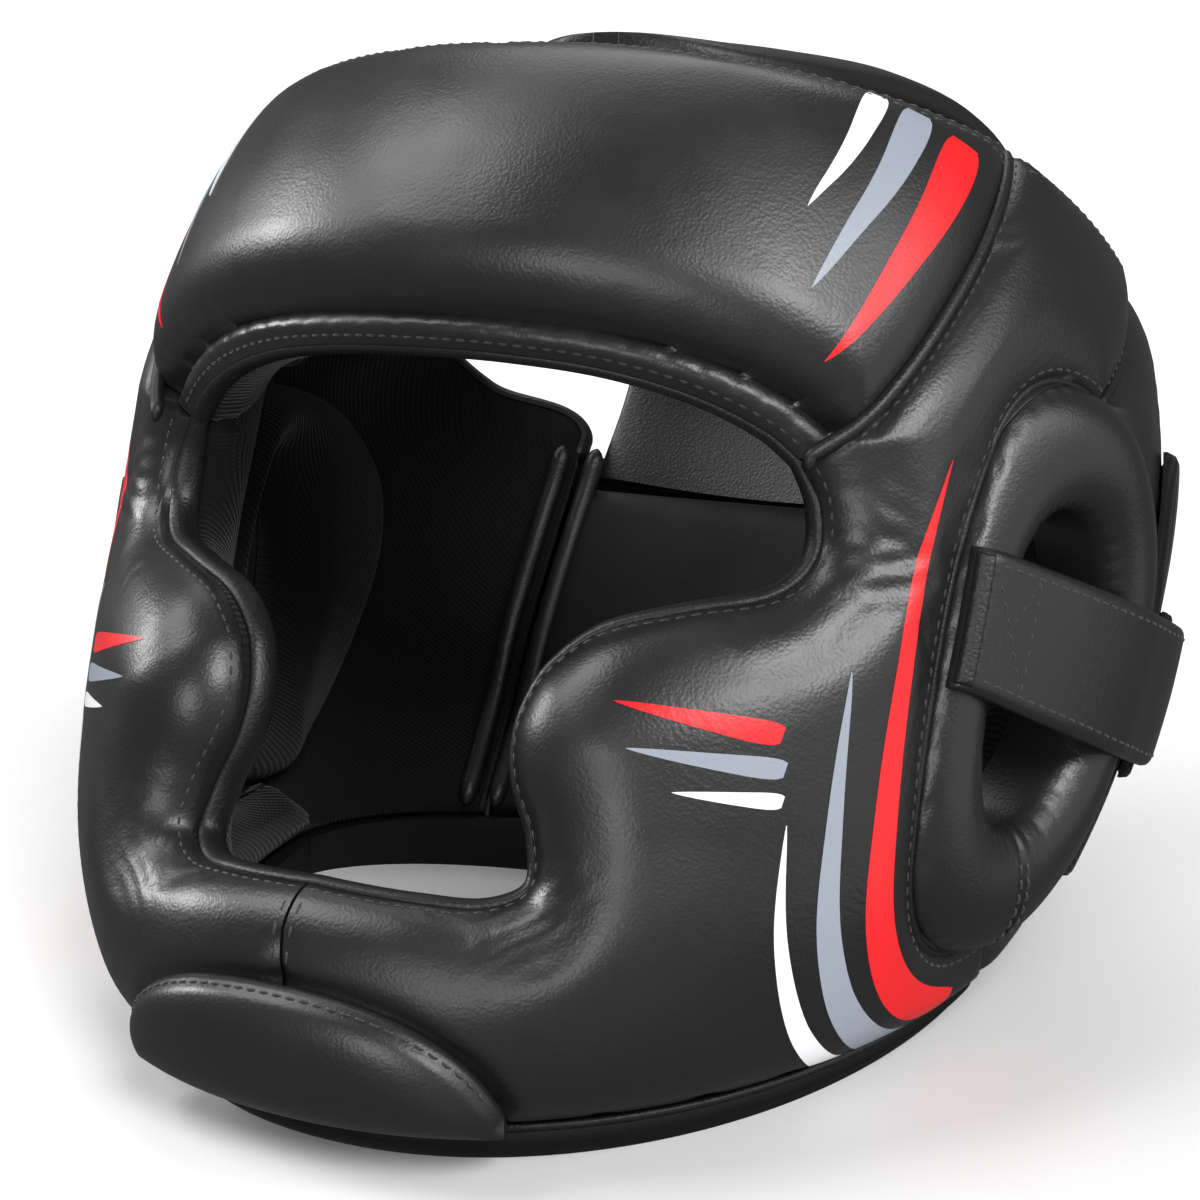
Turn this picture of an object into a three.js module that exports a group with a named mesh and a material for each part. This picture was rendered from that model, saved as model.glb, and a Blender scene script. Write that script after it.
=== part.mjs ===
// Full face boxing headgear, resting on its lower rim.
// Millimetres, +Z up, face towards -Y, +X towards the wearer's left ear.
import * as THREE from 'three';

const DEGREE = Math.PI / 180;

// Driving dimensions
const FIT = 0.93; // size of this headgear against the pattern tables below
const ORIGIN_Y = 118.9; // chin to the middle of the overall depth, moved to the origin
const SEAM_GAP = 0.8; // between panels sewn edge to edge, along the wall
const LAYER_GAP = 0.35; // between layers that lie on each other
const STITCHED_EDGE = 1.6; // leather left at a stitched edge
const PAD_SPLIT = 14; // depth of the join between leather half and lining half, front and sides
const PAD_THICKNESS = 27; // leather face to lining face, front and sides
const LINING_ROLL = 14; // reach of the lining's rounded border
const LINING_EDGE = 2; // lining thickness at its border
const BACK_SPLIT = 10;
const BACK_THICKNESS = 15;
const RELAX_ROUNDS = 6; // evening out of a panel's grid
const ROW_WEIGHT = 0.3; // pull of the rows on each other against the columns'
const BORDER_STEPS = 120; // points that stand for a panel's border
const RIM_HEIGHT = 8; // wall distance where the panels end above the lower rim band

// Outer form in pattern millimetres, one row for each tilted section from the lower rim to the crown.
// wall: distance up the front; frontY, frontZ and rearY, rearZ: ends on the middle plane;
// halfWidth; widest: place of the widest line from front to rear; power: squareness front and rear.
const SECTION_COLUMNS = [
  'wall', 'frontY', 'frontZ', 'rearY', 'rearZ', 'halfWidth', 'widest', 'frontPower', 'rearPower',
];
const SECTIONS = [
  [0, 0, 0, 147, 0, 97, 0.755, 2.06, 2.1],
  [25, -6, 24, 165, 11, 105.5, 0.68, 2.1, 2.1],
  [50, -3, 49, 181, 22, 112.5, 0.638, 2.12, 2.15],
  [77, 9, 73, 194, 34, 118, 0.61, 2.14, 2.15],
  [105, 22, 99, 206, 46, 121, 0.597, 2.12, 2.15],
  [132, 33, 123, 217, 58, 122.5, 0.585, 2.1, 2.1],
  [157, 44, 145, 227, 69, 123, 0.567, 2.06, 2.1],
  [177, 52, 164, 234, 79, 122.5, 0.552, 2, 2.1],
  [197, 62, 180, 241, 90, 119.5, 0.542, 1.98, 2.1],
  [217, 76, 195.5, 247, 101, 114.5, 0.53, 2, 2.1],
  [237, 93, 207.5, 252, 112, 107, 0.51, 2.08, 2.1],
  [255, 111, 213, 257, 123, 97.5, 0.475, 2.2, 2.1],
];

// Edge of the eye opening above the eyes. Columns: angle from the middle, wall distance.
const BROW = [[0, 170], [11, 170], [22, 169.2], [32, 166.2], [39.5, 161.5], [43.4, 157]];
const BROW_DEPTH = 11; // stitched edge below the outer form
const BROW_ROLL = 24; // reach of its rounding

// Seam between forehead and temple. Columns: part of the seam's height, angle.
const SEAM = [[0, 43.4], [0.09, 48.3], [0.215, 52.6], [0.43, 58], [0.645, 63], [1, 70]];
const SEAM_DEPTH = 6;
const SEAM_ROLL = 13;
const TOP_WALL = 252; // forehead's top edge
const TOP_CORNER_WALL = 250;
const TOP_DEPTH = 5;
const TOP_ROLL = 12;

// Ribs of a side panel from the chin seam to the brow corner.
// angle, wall: stitched edge of the face opening; depth: its depth below the outer form;
// outer: place on the panel's other border (0 to 1 lower rim, 1 to 2 low seam, 2 to 3 ear ring);
// pullAngle, pullWall: direction in which the rib leaves that border.
const RIB_COLUMNS = ['angle', 'wall', 'depth', 'outer', 'pullAngle', 'pullWall'];
const RIBS = [
  [0, 61.5, 9.5, 0, 0, 18],
  [12, 60.6, 11, 0.2, 0, 18],
  [19.5, 60.4, 14, 0.34, 0, 18],
  [23.8, 65, 16, 0.48, -2, 18],
  [22.6, 75, 17, 0.64, -5, 18],
  [19.4, 86, 17, 0.82, -10, 18],
  [18.4, 95, 17, 1, -21, 5],
  [19.2, 103, 17, 1.6, -19.5, -1],
  [21.2, 109.5, 17, 2, -17.5, -3.5],
  [26, 117, 16, 2.15, -18, 8],
  [34.5, 122.3, 14, 2.26, -13.5, 14],
  [43, 127, 12.5, 2.39, -7, 10],
  [46.8, 136, 12, 2.46, -6, 14],
  [46.2, 148, 11.5, 2.52, -6, 13],
  [43.4, 157, 11, 2.58, -8.5, 10.5],
];
// The panel's upper ribs run straight from the forehead seam to the ear ring and the upper back seam.
const UPPER_RIB_COLUMNS = ['part', 'outer'];
const UPPER_RIBS = [[0, 2.58], [0.09, 2.66], [0.215, 2.79], [0.43, 3], [0.68, 3.5], [1, 4]];
const HALF_RIBS = [1.5, 2.5, 3.5, 4.5, 8.5, 9.5, 10.5, 12.5, 13.5]; // finer where the edge turns
const OPENING_ROLL = 25;
const LOW_SEAM_ANGLE = 93;
const UPPER_BACK_SEAM_TOP = { angle: 106, wall: 238 };
const SIDE_RIM_DEPTH = 7;
const SIDE_RIM_ROLL = 14;
const CHIN_SEAM_DEPTH = 3;
const CHIN_SEAM_ROLL = 7;
const EAR_SEAM_DEPTH = 4.5;
const EAR_SEAM_ROLL = 14;

// Ear ring, its hole and the cushion inside: rounded ovals on the wall, leaning by an angle for each
// millimetre up.
const EAR_OUTLINE = { angle: 79, wall: 110, halfAngle: 17.6, halfWall: 77, power: 2.25, lean: -0.03 };
const EAR_HOLE = { angle: 77.2, wall: 113, halfAngle: 8.8, halfWall: 42, power: 2.2, lean: -0.02 };
const EAR_CUSHION = { angle: 91.5, wall: 108, halfAngle: 29.4, halfWall: 74, power: 2.2, lean: 0 };
const EAR_SEAM_CLEARANCE = { angle: 1.3, wall: 4.4 };
const EAR_SEAM_ENDS = { low: -105, top: 108 }; // turns where the low and the upper back seam meet the ring
const EAR_RING_RISE = { front: -0.4, rear: 5.2, from: 64, to: 84 }; // above the outer form, by angle
const EAR_RING_SPLIT = 15.6;
const EAR_CUSHION_DEPTH = 28;
const EAR_CUSHION_EDGE = 17.5;

// Chin pad, a half oval on the chin bar.
const CHIN_PAD = {
  halfAngle: 27.5, bottomWall: 9, height: 31.5, power: 2.3, ends: 0.985, rise: 6.5, edge: 1.2, roll: 14,
  clearance: 0.9,
};

// Straps over the ear holes. Columns: angle, height of the inner face above the outer form,
// wall distances of the lower and the upper edge.
const STRAP = [
  [61.7, -1.9, 108.4, 142.4],
  [63.2, 0, 107.6, 142],
  [65.2, 0.6, 106.4, 141.4],
  [70, 1.2, 103, 139.5],
  [78, 3.2, 97.5, 136.3],
  [87, 5.7, 91.5, 132.7],
  [92, 6.1, 89, 131],
  [98, 6.9, 87, 129.8],
  [101, 7.1, 86.3, 129.3],
  [112, 7.1, 85, 128.5],
];
const STRAP_THICKNESS = 2.3;
const TAB = { from: 100.8, to: 117, low: 81, high: 133, height: 4.15, thickness: 2.3 };

// Panels behind the ears. Columns: place on the ear ring (degrees from its front over the top),
// angle and wall distance of the outer border.
const BACK_RIBS = [
  [EAR_SEAM_ENDS.top, 106, 238], [125, 118, 219], [142, 133, 200], [160, 150, 184], [180, 150, 110],
  [203, 150, 50], [222, 150, RIM_HEIGHT], [239, 120, RIM_HEIGHT],
  [360 + EAR_SEAM_ENDS.low, LOW_SEAM_ANGLE, RIM_HEIGHT],
];
const BACK_EDGE_ANGLE = 150;
const BACK_EDGE_DEPTH = 4.5;
const BACK_EDGE_ROLL = 10;
const BACK_RING_DEPTH = 5;
const BACK_END_MARGIN = 0.006; // part of the panel's length left free at both end seams

// innerRound: rounding of the inner face against the outer face's.
const REAR_PAD = { from: 150.45, to: 209.55, low: RIM_HEIGHT, high: 160, innerRound: 1.2 };
const REAR_FLAP = { from: 100, to: 260, low: 47, high: 180, height: 0.8, thickness: 3 };

// Crown straps, from the rear pad over the head to the forehead.
// Columns: y and z of the middle line, half width of the rear strap.
const CROWN = [
  [228.9, 71.4, 55], [246, 92, 54], [260, 114, 54], [270, 137, 54], [272, 156, 53], [264, 172, 51],
  [246, 185, 48], [218, 195, 44], [186, 201.5, 40], [156, 206.5, 37], [136, 210.5, 36], [120.4, 213.4, 36],
];
const CROWN_CURVE = 160; // radius across the head
const CROWN_THICKNESS = 8;
const CROWN_INSET = 1; // outer face below the middle line
// tip: part of its length that is rounded off; tipWidth: width left at the very end.
const CROWN_REAR = { end: 146, rows: 14, tip: 0.16, tipWidth: 0.12 };
const CROWN_FRONT = { start: 205, halfWidth: 36, thickness: 7, rows: 8 };
// Border of a crown strap: part of the thickness left there, reach of the rounding in strap widths.
const CROWN_EDGE = { part: 0.35, roll: 0.133 };

// Lower rim band: depth of its outer face at the floor, half way up and at its top; depth of its inner face
// at the front and at the rear, its bulge, and the angles from the rear between which that depth changes.
const RIM_BAND = {
  height: 6.9, floorInset: 3.5, middleInset: 2.6, topInset: 4.6,
  frontDepth: 17, rearDepth: 11, bulge: 1.6, changeFrom: 75, changeTo: 95, sides: 56,
};

// Numbers of facets along and across the pieces.
const FACETS = {
  forehead: { rows: 8, columns: 20 },
  side: { upperRows: 7, columns: 6 },
  ear: { turns: 24, ring: 5, cushion: 4 },
  strap: { along: 20, up: 2 },
  tab: { along: 4, up: 3 },
  chin: { rows: 14, columns: 6 },
  back: { rows: 16, columns: 5 },
  rear: { rows: 9, columns: 7 },
  flap: { along: 18, up: 4 },
  crown: { columns: 7 },
};

const LEATHER = { color: 0x17181a, roughness: 0.42, metalness: 0 };
const FABRIC = { color: 0x101113, roughness: 0.95, metalness: 0 };
const WEBBING = { color: 0x141517, roughness: 0.7, metalness: 0 };

// Smooth value through a table's rows, with slopes from the neighbouring rows.
function smooth(rows, column, at) {
  const last = rows.length - 1;
  const x = THREE.MathUtils.clamp(at, rows[0][0], rows[last][0]);
  let i = 0;
  while (i < last - 1 && x > rows[i + 1][0]) i += 1;
  const slope = (k) => {
    const a = rows[Math.max(k - 1, 0)];
    const b = rows[Math.min(k + 1, last)];
    return (b[column] - a[column]) / (b[0] - a[0]);
  };
  const span = rows[i + 1][0] - rows[i][0];
  const t = (x - rows[i][0]) / span;
  const t2 = t * t;
  const t3 = t2 * t;
  return (2 * t3 - 3 * t2 + 1) * rows[i][column] + (t3 - 2 * t2 + t) * span * slope(i)
    + (3 * t2 - 2 * t3) * rows[i + 1][column] + (t3 - t2) * span * slope(i + 1);
}

// Rows numbered from 0 to 1, so that a table without a measure of its own can be followed.
function numbered(rows) {
  return rows.map((row, i) => [i / (rows.length - 1), ...row]);
}

// Point of the outer form at an angle (degrees from the front towards +X) and a wall distance.
function form(angle, wall) {
  const [, frontY, frontZ, rearY, rearZ, halfWidth, widest, frontPower, rearPower] =
    SECTION_COLUMNS.map((_, column) => smooth(SECTIONS, column, wall));
  const side = Math.sin(angle * DEGREE);
  const along = -Math.cos(angle * DEGREE);
  const power = along < 0 ? frontPower : rearPower;
  const reach = (Math.abs(side) ** power + Math.abs(along) ** power) ** (-1 / power);
  const middleY = frontY + widest * (rearY - frontY);
  const middleZ = frontZ + widest * (rearZ - frontZ);
  const endY = along < 0 ? frontY : rearY;
  const endZ = along < 0 ? frontZ : rearZ;
  const part = Math.abs(along) * reach;
  return new THREE.Vector3(
    halfWidth * side * reach,
    middleY + part * (endY - middleY),
    middleZ + part * (endZ - middleZ),
  ).multiplyScalar(FIT);
}

// Point below (or, with a negative depth, above) the outer form along its normal.
function sunk(angle, wall, depth) {
  const step = 0.5;
  const topWall = SECTIONS[SECTIONS.length - 1][0];
  const across = form(angle + step, wall).sub(form(angle - step, wall));
  const up = form(angle, Math.min(wall + step, topWall)).sub(form(angle, Math.max(wall - step, 0)));
  const normal = across.cross(up).normalize();
  return form(angle, wall).addScaledVector(normal, -depth);
}

// Quarter-round profile: 0 on the edge, 1 from the reach inwards.
function rounded(distance, reach) {
  const t = THREE.MathUtils.clamp(distance / reach, 0, 1);
  return Math.sqrt(1 - (1 - t) ** 2);
}

// Evenly numbered places from 0 to 1, drawn towards both ends where edges are rounded.
function places(count, draw = 0.65) {
  return Array.from({ length: count + 1 }, (_, i) => {
    const even = i / count;
    return THREE.MathUtils.lerp(even, 0.5 - 0.5 * Math.cos(Math.PI * even), draw);
  });
}

// A panel's border with its depth below the outer form and the reach of its rounding.
function border(place, depth, roll) {
  const points = Array.from({ length: BORDER_STEPS + 1 }, (_, i) => {
    const { angle, wall, depth: own } = place(i / BORDER_STEPS);
    return { at: form(angle, wall), depth: own ?? depth };
  });
  return { points, roll };
}

// Depth of a panel's leather face at a point, and its distance from the nearest border.
function edgeEffect(angle, wall, borders) {
  const at = form(angle, wall);
  let depth = 0;
  let distance = Infinity;
  for (const { points, roll } of borders) {
    let near = Infinity;
    let nearDepth = 0;
    for (const point of points) {
      const d = point.at.distanceTo(at);
      if (d < near) {
        near = d;
        nearDepth = point.depth;
      }
    }
    depth = Math.max(depth, nearDepth * (1 - rounded(near, roll)));
    distance = Math.min(distance, near);
  }
  return { depth, distance };
}

// Closed solid between an outer and an inner grid of points, open at its borders or closed to a ring.
function solid(name, outer, inner, look, ring = false) {
  const rows = outer.length;
  const columns = outer[0].length;
  const positions = [];
  for (const grid of [outer, inner]) {
    for (const row of grid) {
      for (const p of row) positions.push(p.x, p.y, p.z);
    }
  }
  const index = [];
  const at = (layer, i, j) => layer * rows * columns + (i % rows) * columns + j;
  const quad = (a, b, c, d) => index.push(a, b, c, a, c, d);
  const lastRow = ring ? rows : rows - 1;
  for (let i = 0; i < lastRow; i += 1) {
    for (let j = 0; j < columns - 1; j += 1) {
      quad(at(0, i, j), at(0, i, j + 1), at(0, i + 1, j + 1), at(0, i + 1, j));
      quad(at(1, i, j), at(1, i + 1, j), at(1, i + 1, j + 1), at(1, i, j + 1));
    }
    quad(at(0, i, 0), at(0, i + 1, 0), at(1, i + 1, 0), at(1, i, 0));
    const j = columns - 1;
    quad(at(0, i, j), at(1, i, j), at(1, i + 1, j), at(0, i + 1, j));
  }
  if (!ring) {
    for (let j = 0; j < columns - 1; j += 1) {
      const i = rows - 1;
      quad(at(0, 0, j), at(1, 0, j), at(1, 0, j + 1), at(0, 0, j + 1));
      quad(at(0, i, j), at(0, i, j + 1), at(1, i, j + 1), at(1, i, j));
    }
  }
  return named(name, positions, index, look);
}

// Mesh with its faces turned outwards.
function named(name, positions, index, look) {
  const corner = (k) => new THREE.Vector3().fromArray(positions, 3 * index[k]);
  let volume = 0;
  for (let k = 0; k < index.length; k += 3) {
    volume += corner(k).dot(corner(k + 1).cross(corner(k + 2)));
  }
  if (volume < 0) index.reverse();
  const geometry = new THREE.BufferGeometry();
  geometry.setAttribute('position', new THREE.Float32BufferAttribute(positions, 3));
  geometry.setIndex(index);
  geometry.computeVertexNormals();
  const mesh = new THREE.Mesh(geometry, new THREE.MeshStandardMaterial(look));
  mesh.name = name;
  return mesh;
}

// Grid of points over a panel: rows along it, columns across it.
function grid(rowPlaces, columnPlaces, point) {
  return rowPlaces.map((t) => columnPlaces.map((s) => point(s, t)));
}

// Mirror image of a side piece, for the wearer's other side.
function mirrored(mesh, name) {
  const geometry = mesh.geometry.clone();
  const positions = Array.from(geometry.attributes.position.array, (value, i) => (i % 3 ? value : -value));
  return named(name, positions, Array.from(geometry.index.array), mesh.material.clone());
}

// Places of a panel's grid, evened out between its borders so that rows and columns don't crowd.
function relaxed(rows, columns, placeOn) {
  let now = grid(rows, columns, placeOn);
  const mean = (i, j) => {
    const near = [
      [now[i][j - 1], 1 / (columns[j] - columns[j - 1])],
      [now[i][j + 1], 1 / (columns[j + 1] - columns[j])],
      [now[i - 1][j], ROW_WEIGHT / (rows[i] - rows[i - 1])],
      [now[i + 1][j], ROW_WEIGHT / (rows[i + 1] - rows[i])],
    ];
    const total = near.reduce((sum, [, weight]) => sum + weight, 0);
    const average = (key) => near.reduce((sum, [place, weight]) => sum + place[key] * weight, 0) / total;
    return { angle: average('angle'), wall: average('wall') };
  };
  for (let round = 0; round < RELAX_ROUNDS; round += 1) {
    now = now.map((row, i) => row.map((place, j) => {
      const onBorder = i === 0 || j === 0 || i === rows.length - 1 || j === columns.length - 1;
      return onBorder ? place : mean(i, j);
    }));
  }
  return now;
}

// Leather half and lining half of a padded panel that share their grid.
function paddedPanel(name, liningName, placeOn, borders, rowPlaces, columnPlaces, split, thickness) {
  const leatherDepth = (angle, wall) => edgeEffect(angle, wall, borders).depth;
  const joinDepth = (angle, wall) => Math.max(split, leatherDepth(angle, wall) + STITCHED_EDGE);
  const liningDepth = (angle, wall) => {
    const from = joinDepth(angle, wall) + LAYER_GAP + LINING_EDGE;
    const { distance } = edgeEffect(angle, wall, borders);
    return THREE.MathUtils.lerp(from, Math.max(thickness, from), rounded(distance, LINING_ROLL));
  };
  const panelPlaces = relaxed(rowPlaces, columnPlaces, placeOn);
  const layer = (depth) => panelPlaces.map((row) => row.map(({ angle, wall }) => (
    sunk(angle, wall, depth(angle, wall))
  )));
  const join = layer(joinDepth);
  const backOfJoin = layer((angle, wall) => joinDepth(angle, wall) + LAYER_GAP);
  return [
    solid(name, layer(leatherDepth), join, LEATHER),
    solid(liningName, backOfJoin, layer(liningDepth), FABRIC),
  ];
}

// Place between two borders along a straight or bent line, kept half a seam gap away from both.
function between(from, to, s, bend = null) {
  const length = form(from.angle, from.wall).distanceTo(form(to.angle, to.wall));
  const margin = SEAM_GAP / 2 / length;
  const t = margin + s * (1 - 2 * margin);
  const along = (key) => {
    const middle = bend ? bend[key] : (from[key] + to[key]) / 2;
    return (1 - t) ** 2 * from[key] + 2 * t * (1 - t) * middle + t ** 2 * to[key];
  };
  return { angle: along('angle'), wall: along('wall') };
}

// Point of a rounded oval on the wall, turning from its front over its top.
function oval({ angle, wall, halfAngle, halfWall, power, lean }, turn, clearance = { angle: 0, wall: 0 }) {
  const c = Math.cos(turn * DEGREE);
  const s = Math.sin(turn * DEGREE);
  const reach = (Math.abs(c) ** power + Math.abs(s) ** power) ** (-1 / power);
  const rise = (halfWall + clearance.wall) * s * reach;
  return {
    angle: angle - (halfAngle + clearance.angle) * c * reach + lean * rise,
    wall: wall + rise,
  };
}

const earSeam = (turn) => oval(EAR_OUTLINE, turn, EAR_SEAM_CLEARANCE);

// Forehead seam of one side: part of its height from the brow corner to the top edge.
function foreheadSeam(part) {
  return {
    angle: smooth(SEAM, 1, part),
    wall: THREE.MathUtils.lerp(BROW[BROW.length - 1][1], TOP_CORNER_WALL, part),
  };
}

// Place on the forehead: across from seam to seam (-1 to 1), part of its height.
function onForehead(across, part) {
  const seam = foreheadSeam(part);
  const corner = BROW[BROW.length - 1][0];
  const brow = smooth(BROW, 1, Math.abs(across) * corner);
  const top = THREE.MathUtils.lerp(TOP_WALL, TOP_CORNER_WALL, across ** 2);
  return { angle: across * seam.angle, wall: THREE.MathUtils.lerp(brow, top, part) };
}

function forehead() {
  const borders = [
    border((t) => onForehead(2 * t - 1, 0), BROW_DEPTH, BROW_ROLL),
    border((t) => onForehead(2 * t - 1, 1), TOP_DEPTH, TOP_ROLL),
    border((t) => onForehead(-1, t), SEAM_DEPTH, SEAM_ROLL),
    border((t) => onForehead(1, t), SEAM_DEPTH, SEAM_ROLL),
  ];
  const { angle, wall } = foreheadSeam(0.5);
  const margin = SEAM_GAP / 2 / form(angle, wall).distanceTo(form(0, wall));
  const placeOn = (s, t) => onForehead((2 * s - 1) * (1 - margin), t);
  return paddedPanel('forehead_pad', 'forehead_lining', placeOn, borders,
    places(FACETS.forehead.rows), places(FACETS.forehead.columns, 0.5), PAD_SPLIT, PAD_THICKNESS);
}

// Place on the outer border of a side panel: lower rim, low seam, ear ring, upper back seam.
function sideOuter(at) {
  const ringBottom = earSeam(EAR_SEAM_ENDS.low);
  const ringTop = earSeam(EAR_SEAM_ENDS.top);
  if (at <= 1) return { angle: LOW_SEAM_ANGLE * at, wall: RIM_HEIGHT };
  if (at <= 2) {
    return {
      angle: THREE.MathUtils.lerp(LOW_SEAM_ANGLE, ringBottom.angle, at - 1),
      wall: THREE.MathUtils.lerp(RIM_HEIGHT, ringBottom.wall, at - 1),
    };
  }
  if (at <= 3) return earSeam(THREE.MathUtils.lerp(EAR_SEAM_ENDS.low, EAR_SEAM_ENDS.top, at - 2));
  return {
    angle: THREE.MathUtils.lerp(ringTop.angle, UPPER_BACK_SEAM_TOP.angle, at - 3),
    wall: THREE.MathUtils.lerp(ringTop.wall, UPPER_BACK_SEAM_TOP.wall, at - 3),
  };
}

// Stitched edge, outer border and bend of a side panel's rib, from the chin seam (0) past the brow corner (1)
// to the top (2).
function sideRib(t) {
  if (t <= 1) {
    const rows = numbered(RIBS);
    const value = RIB_COLUMNS.map((_, column) => smooth(rows, column + 1, t));
    const [angle, wall, depth, at, pullAngle, pullWall] = value;
    const outer = sideOuter(at);
    const bend = { angle: outer.angle + pullAngle, wall: outer.wall + pullWall };
    return { edge: { angle, wall, depth }, outer, bend };
  }
  const rows = numbered(UPPER_RIBS);
  const [part, at] = UPPER_RIB_COLUMNS.map((_, column) => smooth(rows, column + 1, t - 1));
  const edge = { ...foreheadSeam(part), depth: SEAM_DEPTH };
  const outer = sideOuter(at);
  const bend = { angle: (edge.angle + outer.angle) / 2, wall: (edge.wall + outer.wall) / 2 };
  return { edge, outer, bend };
}

function side() {
  const borders = [
    border((t) => sideRib(t).edge, 0, OPENING_ROLL),
    border((t) => sideRib(1 + t).edge, SEAM_DEPTH, SEAM_ROLL),
    border((t) => sideOuter(t), SIDE_RIM_DEPTH, SIDE_RIM_ROLL),
    border((t) => sideOuter(1 + t), SEAM_DEPTH, SEAM_ROLL),
    border((t) => sideOuter(2 + t), EAR_SEAM_DEPTH, EAR_SEAM_ROLL),
    border((t) => sideOuter(3 + t), SEAM_DEPTH, SEAM_ROLL),
    border((t) => between(sideRib(2).edge, sideRib(2).outer, t), TOP_DEPTH, TOP_ROLL),
    border((t) => between(sideRib(0).edge, sideRib(0).outer, t), CHIN_SEAM_DEPTH, CHIN_SEAM_ROLL),
  ];
  const placeOn = (s, t) => {
    const { edge, outer, bend } = sideRib(2 * t);
    const place = between(edge, outer, s, bend);
    return { ...place, angle: Math.max(place.angle, SEAM_GAP / 4) };
  };
  const ribs = [...RIBS.keys(), ...HALF_RIBS].sort((a, b) => a - b);
  const lowerRows = ribs.map((rib) => rib / (RIBS.length - 1) / 2);
  const upperRows = places(FACETS.side.upperRows, 0.3).slice(1).map((t) => 0.5 + t / 2);
  return paddedPanel('side_pad_left', 'side_lining_left', placeOn, borders,
    [...lowerRows, ...upperRows], places(FACETS.side.columns), PAD_SPLIT, PAD_THICKNESS);
}

// Angles of evenly spaced places round a ring.
function circle(count) {
  return Array.from({ length: count }, (_, i) => (360 * i) / count);
}

// Padded ring round an ear hole, with the fabric-covered cushion behind it.
function ear() {
  const turns = circle(FACETS.ear.turns);
  const { ring, cushion } = FACETS.ear;
  const across = (s) => 2 * Math.sqrt(s * (1 - s));
  const layer = (outline, count, depth) => grid(turns, places(count, 0.8), (s, turn) => {
    const from = oval(outline, turn);
    const to = oval(EAR_HOLE, turn);
    const angle = THREE.MathUtils.lerp(from.angle, to.angle, s);
    return sunk(angle, THREE.MathUtils.lerp(from.wall, to.wall, s), depth(across(s), angle));
  });
  const { front, rear, from, to } = EAR_RING_RISE;
  const ringRise = (angle) => THREE.MathUtils.lerp(front, rear, THREE.MathUtils.smoothstep(angle, from, to));
  const ringFace = (a, angle) => THREE.MathUtils.lerp(EAR_SEAM_DEPTH, -ringRise(angle), a);
  const cushionFace = (a) => THREE.MathUtils.lerp(EAR_CUSHION_EDGE, EAR_CUSHION_DEPTH, a);
  return [
    solid('ear_ring_left', layer(EAR_OUTLINE, ring, ringFace), layer(EAR_OUTLINE, ring, () => EAR_RING_SPLIT),
      LEATHER, true),
    solid('ear_cushion_left', layer(EAR_CUSHION, cushion, () => EAR_RING_SPLIT + LAYER_GAP),
      layer(EAR_CUSHION, cushion, cushionFace), FABRIC, true),
  ];
}

// Thin layer on the wall between two angles and two edges, each a wall distance or a function of the angle.
function wallLayer(name, { from, to, low, high }, innerHeight, thickness, counts, look) {
  const level = (edge, angle) => (typeof edge === 'function' ? edge(angle) : edge);
  const layer = (extra) => grid(places(counts.along, 0), places(counts.up, 0), (s, t) => {
    const angle = THREE.MathUtils.lerp(from, to, t);
    const wall = THREE.MathUtils.lerp(level(low, angle), level(high, angle), s);
    return sunk(angle, wall, -innerHeight(angle) - extra);
  });
  return solid(name, layer(thickness), layer(0), look);
}

// Depth of the chin bar's face, without the seam that the chin pad covers.
function chinBarDepth(wall) {
  return SIDE_RIM_DEPTH * (1 - rounded(wall - RIM_HEIGHT, SIDE_RIM_ROLL));
}

// Half-oval pad stitched on the chin bar.
function chinPad() {
  const { halfAngle, bottomWall, height, power, ends, rise, edge, roll, clearance } = CHIN_PAD;
  const outline = (across) => bottomWall + height * (1 - Math.abs(across) ** power) ** (1 / power);
  const placeOn = (s, t) => {
    const across = (2 * t - 1) * ends;
    return { angle: across * halfAngle, wall: THREE.MathUtils.lerp(bottomWall, outline(across), s) };
  };
  const arch = border((t) => placeOn(1, t), 1, roll);
  const inner = (angle, wall) => chinBarDepth(wall) - clearance;
  const outer = (angle, wall) => {
    const { depth } = edgeEffect(angle, wall, [arch]);
    return inner(angle, wall) - edge - rise * (1 - depth);
  };
  const layer = (depth) => grid(places(FACETS.chin.rows), places(FACETS.chin.columns), (s, t) => {
    const { angle, wall } = placeOn(s, t);
    return sunk(angle, wall, depth(angle, wall));
  });
  return solid('chin_pad', layer(outer), layer(inner), LEATHER);
}

// Thin panel behind an ear, from the ear ring to the back of the head.
function backPanel() {
  const rows = numbered(BACK_RIBS);
  const rib = (t) => {
    const [turn, angle, wall] = [1, 2, 3].map((column) => smooth(rows, column, t));
    const outer = { angle: Math.min(angle, BACK_EDGE_ANGLE), wall: Math.max(wall, RIM_HEIGHT) };
    return { ring: earSeam(turn), outer };
  };
  const borders = [
    border((t) => rib(t).ring, BACK_RING_DEPTH, EAR_SEAM_ROLL),
    border((t) => rib(t).outer, BACK_EDGE_DEPTH, BACK_EDGE_ROLL),
    border((t) => between(rib(0).ring, rib(0).outer, t), SEAM_DEPTH, SEAM_ROLL),
    border((t) => between(rib(1).ring, rib(1).outer, t), SEAM_DEPTH, SEAM_ROLL),
  ];
  const placeOn = (s, t) => {
    const { ring, outer } = rib(THREE.MathUtils.lerp(BACK_END_MARGIN, 1 - BACK_END_MARGIN, t));
    return between(ring, outer, s);
  };
  return paddedPanel('back_pad_left', 'back_lining_left', placeOn, borders,
    places(FACETS.back.rows, 0.2), places(FACETS.back.columns), BACK_SPLIT, BACK_THICKNESS);
}

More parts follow.
